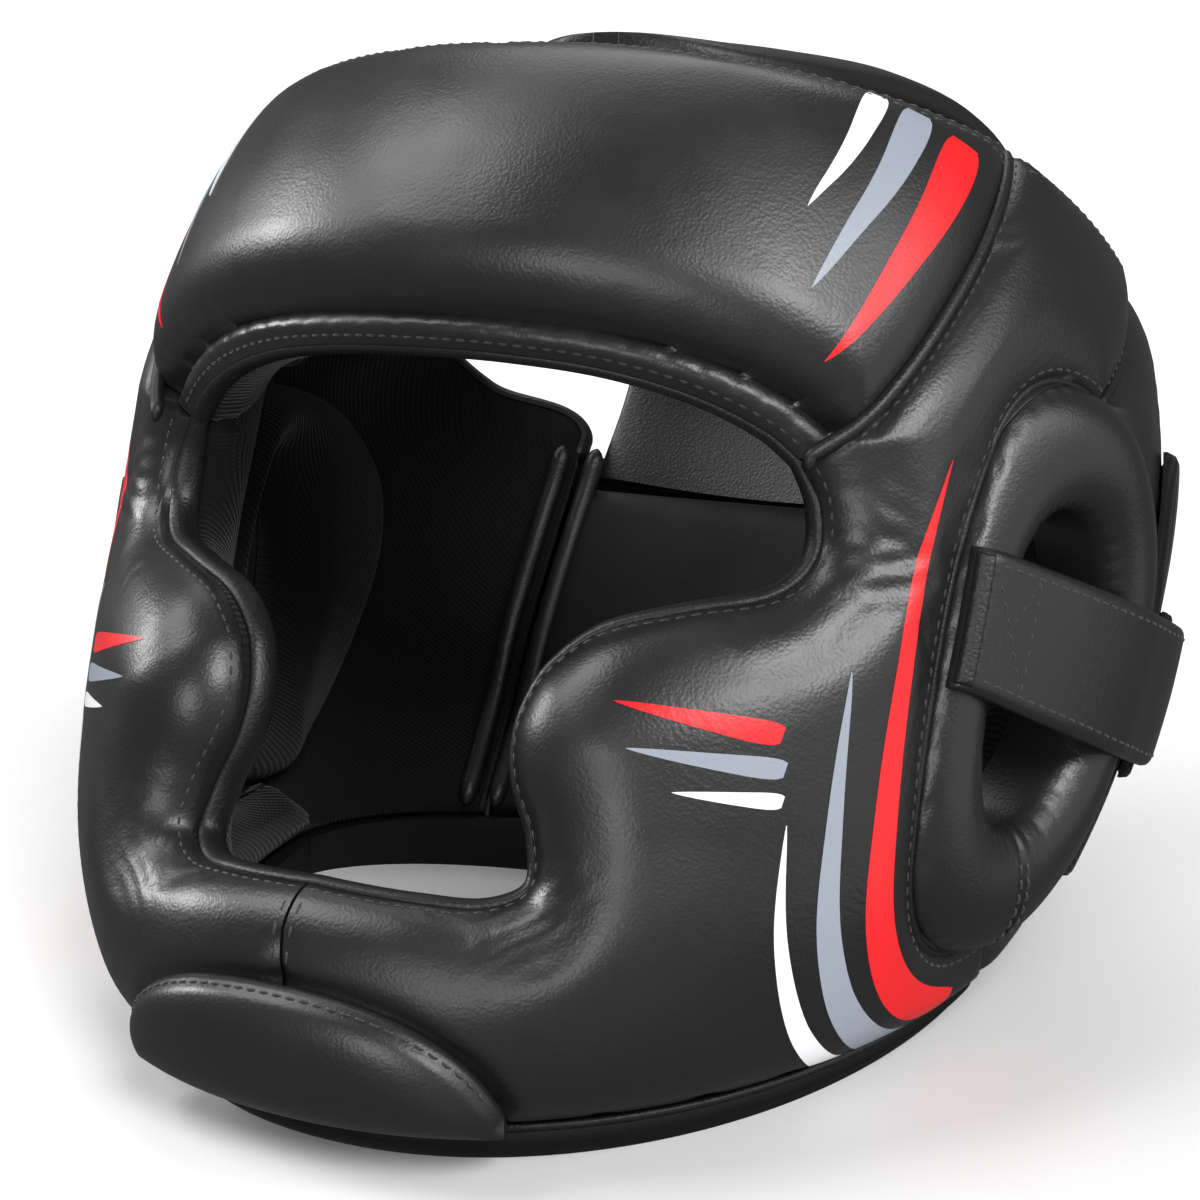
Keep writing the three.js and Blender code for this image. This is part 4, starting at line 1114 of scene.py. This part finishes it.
def crown_strap(name, start, end, top, thickness, half_width, rows, material):
    s, t = np.meshgrid(places(48, 0.6), places(rows, 0.6))
    at = mix(start, end, t)
    bulge = thickness / 2 * mix(CROWN_EDGE["part"], 1, rounded(np.minimum(s, 1 - s), CROWN_EDGE["roll"]))
    middle, width = top + thickness / 2, half_width(t, at)
    layers = [crown_point(s, at, width, middle - sign * bulge) for sign in (1, -1)]
    make(f"{name}_leather", solid(*layers), material, name)


def crown_rear_width(t, at):
    round_off = mix(CROWN_REAR["tip_width"], 1, rounded(1 - t, CROWN_REAR["tip"]))
    return smooth(numbered(CROWN), 3, at) * round_off


def crown():
    rear_end, front_start = crown_at(CROWN_REAR["end"]), crown_at(CROWN_FRONT["start"])
    crown_strap("crown_rear", 0.0, rear_end, CROWN_INSET, CROWN_THICKNESS, crown_rear_width, 130, TRIM)
    under = CROWN_INSET + CROWN_THICKNESS + 2 * LAYER_GAP
    crown_strap("crown_front", front_start, 1.0, under, CROWN_FRONT["thickness"],
                lambda t, at: CROWN_FRONT["half_width"] + 0 * at, 60, TRIM)


def rim_depth(angle):
    change = smooth_step(np.abs(angle - 180), *RIM_BAND["change"])
    return mix(RIM_BAND["rear"], RIM_BAND["front"], change)


def rim_band():
    angle = np.linspace(0, 360, 300, endpoint=False)
    height, inner = RIM_BAND["height"], rim_depth(angle)
    # Profile of the folded band. Columns: height, depth.
    profile = [
        (0, RIM_BAND["floor"] + 1.2), (0.7, RIM_BAND["floor"]), (height / 2, RIM_BAND["middle"]),
        (0.85 * height, RIM_BAND["top"] - 0.9), (height, RIM_BAND["top"] + 0.4), (height, inner - 0.8),
        (0.85 * height, inner), (height / 2, inner + RIM_BAND["bulge"]), (0.7, inner), (0, inner - 0.8),
    ]
    rings = []
    for wall, depth in profile:
        ring = sunk(angle, np.full_like(angle, wall), depth)
        if wall == 0:
            ring[:, 2] = 0
        rings.append(ring)
    points = np.stack(rings, 1)
    shape = points.reshape(-1, 3), [loop_faces(len(angle), len(profile), True)]
    # The band is made in the darker leather, whose colour is painted shade.
    make("rim_band_leather", shape, SHADED_INNER_LEATHER, "rim_band", sharp=80)


BINDING = dict(radius=1.7, height=3.2, brow_radius=1.3, brow_height=2.2, inset=2.2)
WELT = dict(radius=1.5, lift=2.2)
PATH = np.linspace(0, 1, 240)


def opening_loop():
    """The face opening's stitched edge all the way round: angle, wall, depth, and 1 along the brow."""
    edge, _, _, depth = side_rib(PATH)
    corner = smooth_step(PATH, 0.9, 1)
    left = np.column_stack([edge[0], edge[1], depth, corner])
    brow_angle, brow_wall = on_forehead(1 - 2 * PATH[1:-1], 0.0)
    flat = np.ones_like(brow_angle)
    brow = np.column_stack([brow_angle, brow_wall, BROW_DEPTH * flat, flat])
    return np.vstack([left, brow, left[:0:-1] * [-1, 1, 1, 1]])


def bindings():
    """Folded leather edge round the face opening, over the crown opening and round the lower rim."""
    loop = opening_loop()
    path = sunk(loop[:, 0], loop[:, 1], loop[:, 2] + BINDING["inset"])
    both = np.hstack([path, normal(loop[:, 0], loop[:, 1]), loop[:, 3:]])
    both = measured(np.vstack([both, both[:1]]), 521)[0][:-1]
    radius = mix(BINDING["radius"], BINDING["brow_radius"], both[:, 6])
    height = mix(BINDING["height"], BINDING["brow_height"], both[:, 6])
    shape = tube(both[:, :3], both[:, 3:6], radius, height, 14, closed=True)
    make("opening_binding", shape, TRIM)
    top = on_forehead(2 * PATH - 1, 1.0)
    corner = [side[1:] for side in straight(side_rib(2.0)[0], side_rib(2.0)[1])]
    angle = np.concatenate([-corner[0][::-1], top[0], corner[0]])
    wall = np.concatenate([corner[1][::-1], top[1], corner[1]])
    path = sunk(angle, wall, TOP_DEPTH + 1.5)
    make("top_binding", even_tube(path, normal(angle, wall), 320, 2.0, 2.8, 12), TRIM)
    angle = np.linspace(0, 360, 320, endpoint=False)
    wall = np.full_like(angle, RIM_HEIGHT)
    path = sunk(angle, wall - 0.6, RIM_BAND["top"] - 0.4)
    make("rim_piping", tube(path, normal(angle, wall), 0.9, sides=8, closed=True), TRIM)


def welt(angle, wall, depth, radius=WELT["radius"]):
    path = sunk(angle, wall, depth - WELT["lift"])
    return even_tube(path, normal(angle, wall), 140, radius, sides=8)


def side_seams():
    """Welts of the seams on one side."""
    turn = np.linspace(0, 360, 200, endpoint=False)
    ring = ear_seam(turn)
    path = sunk(*ring, EAR_SEAM_DEPTH - 0.2)
    low, high = side_outer(1 + PATH), side_outer(3 + PATH)
    return joined([
        welt(*forehead_seam(mix(-0.035, 1, PATH)), SEAM_DEPTH),
        welt(*low, SEAM_DEPTH, 1.2),
        welt(*high, SEAM_DEPTH, 1.2),
        tube(path, normal(*ring), 1.1, sides=8, closed=True),
    ])


INNER_RIDGES = dict(places=((147.4, 14.4), (152.4, 13.6)), low=7.5, high=178, points=120)


def inner_ridges():
    """Rolled edges inside, where the panels behind the ears meet the pad at the back of the head."""
    shapes = []
    count = INNER_RIDGES["points"]
    for angle, depth in INNER_RIDGES["places"]:
        wall = np.linspace(INNER_RIDGES["low"], INNER_RIDGES["high"], count)
        across = np.full_like(wall, angle)
        path = sunk(across, wall, depth)
        shapes.append(tube(path, normal(across, wall), 2.5, 2.9, 10))
    edge = back_place(np.full(count, 1.0), np.linspace(0.01, 0.4, count))
    shapes.append(even_tube(sunk(*edge, 9.5), normal(*edge), count, 1.8, 4.5))
    return joined(shapes)


# Distances of stitch rows from edges
OPENING_ROW, BROW_ROW, SEAM_ROW, TOP_ROWS = 1.3, 1.8, 1.9, (2.8, 6.4)


def stitch_rows(panel, rows, **size):
    return [stitches(*panel.laid(*row), **size) for row in rows]


def seam_stitches(brow_panel, cheek_panel, ear_panel):
    """Thread along the seams of the left side, along the brow and along the top edge."""
    most = np.linspace(0.004, 0.985, 260)
    top = [straight(side_rib(2.0)[0], side_rib(2.0)[1])[k][8:-8] for k in (0, 1)]
    rows = [
        beside(*side_rib(most)[0], -OPENING_ROW),
        beside(*forehead_seam(np.linspace(0.03, 0.96, 200)), -SEAM_ROW),
        beside(*side_outer(np.linspace(2.01, 2.99, 200)), SEAM_ROW),
        beside(*side_outer(np.linspace(1.05, 1.95, 60)), SEAM_ROW),
        beside(*side_outer(np.linspace(3.08, 3.95, 100)), SEAM_ROW),
    ]
    shapes = stitch_rows(cheek_panel, rows, **FINE)
    shapes += stitch_rows(cheek_panel, [(np.full(40, 1.0), np.linspace(43, 58, 40))])
    shapes += stitch_rows(cheek_panel, [beside(*top, -row) for row in TOP_ROWS], **FINE)
    around = np.linspace(0.02, 0.98, 200)
    upper = np.linspace(0.01, 0.4, 100)
    rows = [beside(*back_rib(around)[0], SEAM_ROW), beside(*back_rib(upper)[1], -SEAM_ROW)]
    shapes += stitch_rows(ear_panel, rows, **FINE)
    make_pair("side_stitches", joined(shapes), THREAD)
    across = np.linspace(-0.985, 0.985, 260)
    rows = [beside(*on_forehead(across, 0.0), BROW_ROW)]
    rows += [beside(*on_forehead(across, 1.0), -row) for row in TOP_ROWS]
    make("forehead_stitches", joined(stitch_rows(brow_panel, rows, **FINE)), THREAD)


STRAP_BOX = dict(front=63.4, rear=69.2, inset=3.6)


def strap_point(angle, wall):
    height = strap_height(angle) + STRAP_THICKNESS
    return sunk(angle, wall, -height), normal(angle, wall)


def strap_stitches():
    """Stitch rows along both edges of the ear straps, with a crossed box at the front."""
    k = np.linspace(0, 1, 40)
    angle = np.linspace(STRAP[0, 0] + 0.8, STRAP[-1, 0] - 1, 160)
    inset = STRAP_BOX["inset"]
    rows = [(angle, strap_low(angle) + inset), (angle, strap_high(angle) - inset)]
    corners = []
    for end in ("front", "rear"):
        at = np.array(STRAP_BOX[end])
        corners += [(at, strap_low(at) + inset), (at, strap_high(at) - inset)]
    lines = [(0, 1), (1, 2), (2, 3), (3, 0)]
    rows += [tuple(mix(corners[a][i], corners[b][i], k) for i in (0, 1)) for a, b in lines]
    shapes = [stitches(*strap_point(*row), **FINE) for row in rows]
    make_pair("strap_stitches", joined(shapes), THREAD)


def chin_stitches():
    t = np.linspace(0.01, 0.99, 260)
    arch = form(*chin_place(1.0, t))
    height = np.linalg.norm(arch - form(*chin_place(0.0, t)), axis=-1)
    part = np.clip(1 - CHIN_GROOVE["distance"] / np.maximum(height, 6), 0.2, 1)
    angle, wall = chin_place(part, t * 0.96 + 0.02)
    _, outer = chin_faces(angle, wall)
    row = stitches(sunk(angle, wall, outer - 0.25), normal(angle, wall), **FINE)
    make("chin_stitches", row, THREAD)


PRINT = dict(lift=0.12, sunk=0.5, tip=0.15)


def stripe(panel, angle, wall, width):
    """A printed stripe on a panel's leather along a line of places, square at first and pointed at last."""
    k = np.linspace(0, 1, len(angle))
    taper = np.maximum(width * (1 - k) ** 0.7 * rounded(k, 0.25) ** 0.35, PRINT["tip"])
    taper[0] = taper[1]
    across = np.linspace(-0.5, 0.5, 9) * taper[:, None]
    points, up = panel.laid(*beside(angle, wall, across))
    return solid(points + PRINT["lift"] * up, points - PRINT["sunk"] * up)


PRINTS = {"red": RED, "grey": GREY, "white": WHITE}
# Arcs in front of the ear ring. Columns: distance from the ring, first and last turn, width.
EAR_ARCS = {"red": [9.5, -84, 36, 9], "grey": [20, -78, 2, 8], "white": [29, -72, -18, 6]}
# Strokes beside the forehead seam. Columns: distance from the seam, first and last part of its height, width.
BROW_STROKES = {"red": [13, 0.8, 0.1, 10], "grey": [24, 0.8, 0.2, 8], "white": [33, 0.78, 0.34, 6]}
# Dashes in front of the cheek. Columns: angle and wall of its two ends, width.
CHEEK_DASHES = {
    "red": [45, 97, 29, 102, 5], "grey": [46, 90, 31, 93, 4.5], "white": [46.5, 83.5, 36, 85, 3.5],
}


def prints(brow_panel, cheek_panel):
    k = np.linspace(0, 1, 110)
    for colour, (distance, first, last, width) in EAR_ARCS.items():
        arc = beside(*ear_seam(mix(first, last, k)), distance)
        make_pair(f"ear_arc_{colour}", stripe(cheek_panel, *arc, width), PRINTS[colour])
    for colour, (distance, first, last, width) in BROW_STROKES.items():
        line = beside(*forehead_seam(mix(first, last, k)), -distance)
        make_pair(f"brow_stroke_{colour}", stripe(brow_panel, *line, width), PRINTS[colour])
    for colour, (angle, wall, end_angle, end_wall, width) in CHEEK_DASHES.items():
        line = mix(angle, end_angle, k), mix(wall, end_wall, k)
        make_pair(f"cheek_dash_{colour}", stripe(cheek_panel, *line, width), PRINTS[colour])


# Soft lights. Columns: azimuth, elevation, strength, apparent width.
LIGHTS = {
    "key": (-72, 55, 1.0, 30),
    "front": (30, 10, 0.3, 90),
    "brow": (6, 18, 0.7, 24),
    "right": (60, 42, 1.8, 24),
    "left": (-84, 24, 1.1, 16),
    "side": (95, 36, 0.6, 26),
    "low": (98, 5, 0.5, 60),
    "rim": (205, 56, 0.8, 40),
}
WORLD_LIGHT = 0.14


def facing(azimuth, elevation):
    """Direction from the part towards a light or the camera, by angles in radians."""
    level_part = math.cos(elevation)
    return Vector((math.sin(azimuth) * level_part, -math.cos(azimuth) * level_part, math.sin(elevation)))


def stage():
    """Pale floor and soft light."""
    bpy.ops.mesh.primitive_plane_add(size=60)
    floor = bpy.context.object
    floor.name = "floor"
    material, _, _ = shader("pale_floor", (0.93, 0.93, 0.93), 0.9, Specular_IOR_Level=0.1)
    floor.data.materials.append(material)
    floor.visible_glossy = False
    world = bpy.data.worlds.new("studio")
    world.use_nodes = True
    background = world.node_tree.nodes["Background"]
    background.inputs["Color"].default_value = (1, 1, 1, 1)
    background.inputs["Strength"].default_value = WORLD_LIGHT
    bpy.context.scene.world = world
    for name, (azimuth, elevation, strength, width) in LIGHTS.items():
        lamp = bpy.data.lights.new(name, "SUN")
        lamp.energy = strength
        lamp.angle = math.radians(width)
        light = bpy.data.objects.new(name, lamp)
        back = facing(math.radians(azimuth), math.radians(elevation))
        light.rotation_euler = back.to_track_quat("Z", "Y").to_euler()
        light.location = back * 2
        bpy.context.scene.collection.objects.link(light)


CAMERA = dict(place=(281.2, -333.0, 235.9), azimuth=32, elevation=17, roll=-4.118, lens=76.64)


def camera():
    """Camera at the photograph's angle."""
    azimuth, elevation, roll = (math.radians(CAMERA[key]) for key in ("azimuth", "elevation", "roll"))
    back = facing(azimuth, elevation)
    right = Vector((math.cos(azimuth), math.sin(azimuth), 0))
    up = back.cross(right)
    c, s = math.cos(roll), math.sin(roll)
    turned = Matrix((c * right + s * up, c * up - s * right, back)).transposed()
    data = bpy.data.cameras.new("camera")
    data.lens = CAMERA["lens"]
    data.sensor_width = 36
    viewer = bpy.data.objects.new("camera", data)
    place = (Vector(CAMERA["place"]) - Vector((0, ORIGIN_Y, 0))) * MM
    viewer.matrix_world = Matrix.Translation(place) @ turned.to_4x4()
    bpy.context.scene.collection.objects.link(viewer)
    bpy.context.scene.camera = viewer


bpy.context.scene.view_settings.view_transform = "Standard"
camera()
stage()
forehead_faces, side_faces, back_faces = forehead(), sides(), backs()
ears()
straps()
chin_pad()
rear_pad()
crown()
rim_band()
bindings()
make_pair("side_welts", side_seams(), TRIM)
make_pair("inner_ridges", inner_ridges(), TRIM)
seam_stitches(forehead_faces, side_faces, back_faces)
strap_stitches()
chin_stitches()
prints(forehead_faces, side_faces)
